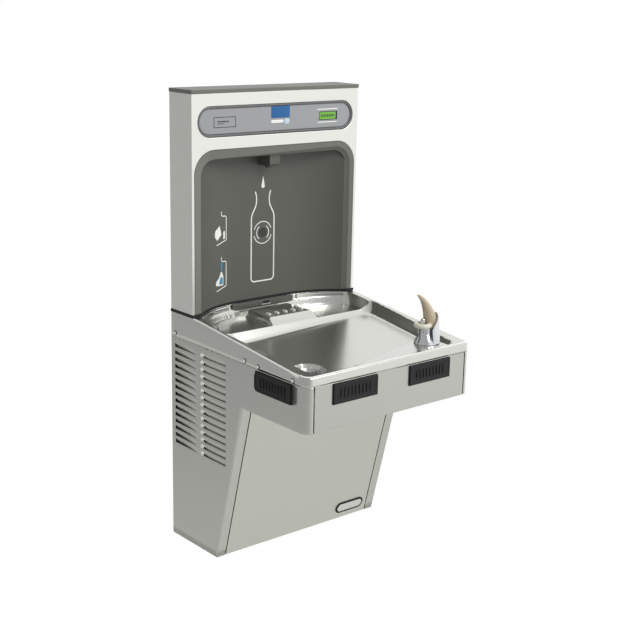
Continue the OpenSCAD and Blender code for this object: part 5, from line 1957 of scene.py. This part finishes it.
        # The dark ring under each head is painted shadow in the gasket rubber; the heads take the
        # painted glint
        shadow_ring = [(2.2, 0), (5.4, 0), (5.4, 0.5), (2.2, 0.5)]
        head = [(2, -6), (2, 0.5), (3.9, 0.5), (3.9, 1.1), (3.4, 2.2), (2.5, 2.9), (1.3, 3.3),
                (0.3, 3.4)]
        for side in Side:
            for depth, height in self.screws_at:
                spot = Place(
                    (side.value * self.half, -depth, height), (0, side.value, 0), (0, 0, 1)
                )
                lathe(surface, shadow_ring, spot, 20, finish=1)
                lathe(surface, head, spot, 20)
        surface.build("cabinet_pan_screws", [GLINT_STEEL, GASKET], "chrome", ["cabinet_screws"])


@dataclass
class PushPads:
    """The four push pads with their stems, ribs and springs."""

    width: float = 117.0
    height: float = 42.0
    out: float = 5.0
    stem_z: float = -7.3
    corner: float = 1.2
    rear_corner: float = 11.0
    ribs: int = 9
    rib_pitch: float = 9.6
    places: dict[str, tuple[Place, str, tuple[float, float, float]]] = field(
        default_factory=lambda: {
            "front_left": (front(-103.4, 468, 439.5), "front_left", (0, 1, 0)),
            "front_right": (front(103.4, 468, 439.5), "front_right", (0, 1, 0)),
            "left": (Place((-228, -362.5, 439.5), (0, -1, 0), (0, 0, 1)), "left", (1, 0, 0)),
            "right": (Place((228, -362.5, 439.5), (0, 1, 0), (0, 0, 1)), "right", (-1, 0, 0)),
        }
    )

    def build(self) -> None:
        """Builds each pad and its spring."""
        for name, (place, joint, axis) in self.places.items():
            self.pad(name, place)
            self.spring(name, place)

    def radii(self, name: str) -> list[float]:
        """Corner radii of a pad; the side pads are rounder at their rear ends.

        Args:
            name: the pad's name.

        Returns:
            The four radii.
        """
        tight, wide = [self.corner] * 2, [self.rear_corner] * 2
        return {"left": tight + wide, "right": wide + tight}.get(name, tight + tight)

    def pad(self, name: str, place: Place) -> None:
        """Builds a pad: a crowned cover with ribs, a plate behind it and a stem.

        Args:
            name: the pad's name.
            place: its frame, on the face of the sheet.
        """
        surface = Surface()
        size = (self.width, self.height)
        face = self.out - 1.0
        levels = [
            (0, -1.9), (0, face - 1.4), (0.4, face - 0.5), (1.3, face), (4.0, face),
            (5.2, face - 0.7), (8, face - 0.7),
        ]
        cushioned(surface, place, size, self.radii(name), levels)
        cushioned(
            surface, place, (self.width + 7, self.height + 5), [2] * 4, [(0, -3.8), (0, -1.85)]
        )
        for i in range(self.ribs):
            across = (i - (self.ribs - 1) / 2) * self.rib_pitch
            spot = Place(
                tuple(place.put(np.float64(across), np.float64(0), np.float64(0))), place.u, place.v
            )
            cushioned(
                surface, spot, (4.2, 20), [1.6] * 4, rolled_edge(face - 1.0, self.out, 0.9, 4)
            )
        stem = Place(
            tuple(place.put(np.float64(0), np.float64(self.stem_z), np.float64(0))),
            place.u,
            place.v,
        )
        lathe(surface, [(3.4, -28), (4, -27.4), (4, -2)], stem, 32)
        surface.build(
            f"{name}_pad_cover", [PAD], "pad_black", [f"{name}_pad"], body=f"{name}_pad_body"
        )

    def spring(self, name: str, place: Place) -> None:
        """Builds the return spring as wire wound on a helix.

        Args:
            name: the pad's name.
            place: the pad's frame.
        """
        surface = Surface()
        wind(surface, place, (0.0, self.stem_z), (-18.6, -4.2), 6.7, 0.75, 6.5)
        piece = surface.build(f"{name}_spring_wire", [WIRE], "spring_steel", [f"{name}_spring"])
        anchor = place.put(np.float64(0), np.float64(self.stem_z), np.float64(-18.6)) * MM
        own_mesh(piece)


def wind(
    surface: Surface,
    place: Place,
    centre: tuple[float, float],
    span: tuple[float, float],
    radius: float,
    wire: float,
    turns: float,
) -> None:
    """Winds a wire on a helix between two heights of a place, with its end turns closed.

    Args:
        surface: where the spring goes.
        place: its frame.
        centre: the axis's u and v.
        span: the lowest and highest height of the wire.
        radius: the helix's radius.
        wire: the wire's radius.
        turns: the number of turns.
    """
    angle = np.linspace(0, 2 * np.pi * turns, int(turns * 20))
    share = np.clip((angle / (2 * np.pi) - 0.8) / (turns - 1.6), 0, 1)
    height = span[0] + wire + share * (span[1] - span[0] - 2 * wire)
    path = place.put(centre[0] + radius * np.cos(angle), centre[1] + radius * np.sin(angle), height)
    out = place.put(np.cos(angle), np.sin(angle), np.float64(0)) - np.array(place.origin)
    tangent = np.gradient(path, axis=0)
    tangent /= np.linalg.norm(tangent, axis=1)[:, None]
    second = np.cross(tangent, out)
    around = np.linspace(0, 2 * np.pi, 8, endpoint=False)
    rings = (
        path[:, None]
        + wire * np.cos(around)[None, :, None] * out[:, None]
        + wire * np.sin(around)[None, :, None] * second[:, None]
    )
    surface.loft(rings)


@dataclass
class ValveSpring:
    """The spring over the filler valve's plunger."""

    depth: float = 47.0
    radius: float = 3.8
    wire: float = 0.45
    turns: float = 7.0
    lift: float = 2.0

    def build(self) -> None:
        """Builds the spring over the plunger."""
        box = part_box("filler_plunger_spring")
        low, high = box[0][2] / MM, box[1][2] / MM
        surface = Surface()
        place = Place((0, -self.depth, 0), (1, 0, 0), (0, 1, 0))
        wind(surface, place, (0.0, 0.0), (low, high), self.radius, self.wire, self.turns)
        piece = surface.build(
            "filler_plunger_spring_wire", [WIRE], "spring_steel", ["filler_plunger_spring"]
        )
        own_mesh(piece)


@dataclass
class CarriedParts:
    """The CAD nodes whose shapes stay, each with its finish."""

    finishes: dict[str, Finish] = field(default_factory=lambda: dict(CAD_FINISHES))

    def build(self) -> None:
        """Gives each carried node its finish."""
        for node, finish in self.finishes.items():
            mesh_object = frame["nodes"][node]
            for slot in mesh_object.material_slots:
                slot.material = finish.material()
            if not mesh_object.material_slots:
                mesh_object.data.materials.append(finish.material())
            log.info("%s: carried over as %s", node, finish.name)


def main() -> None:
    """Builds the scene, sub-assembly by sub-assembly."""
    logging.basicConfig(level=logging.INFO, format="%(message)s")
    bpy.context.scene.view_settings.view_transform = "Standard"
    builders: list[Any] = [
        Studio(),
        CarriedParts(),
        FillerHousing(),
        Alcove(),
        Fascia(),
        BasinPressing(),
        ShelfFittings(),
        Bubbler(),
        CabinetCovers(),
        PushPads(),
        ValveSpring(),
    ]
    for builder in builders:
        log.info("building %s", type(builder).__name__)
        builder.build()


if __name__ == "__main__":
    main()
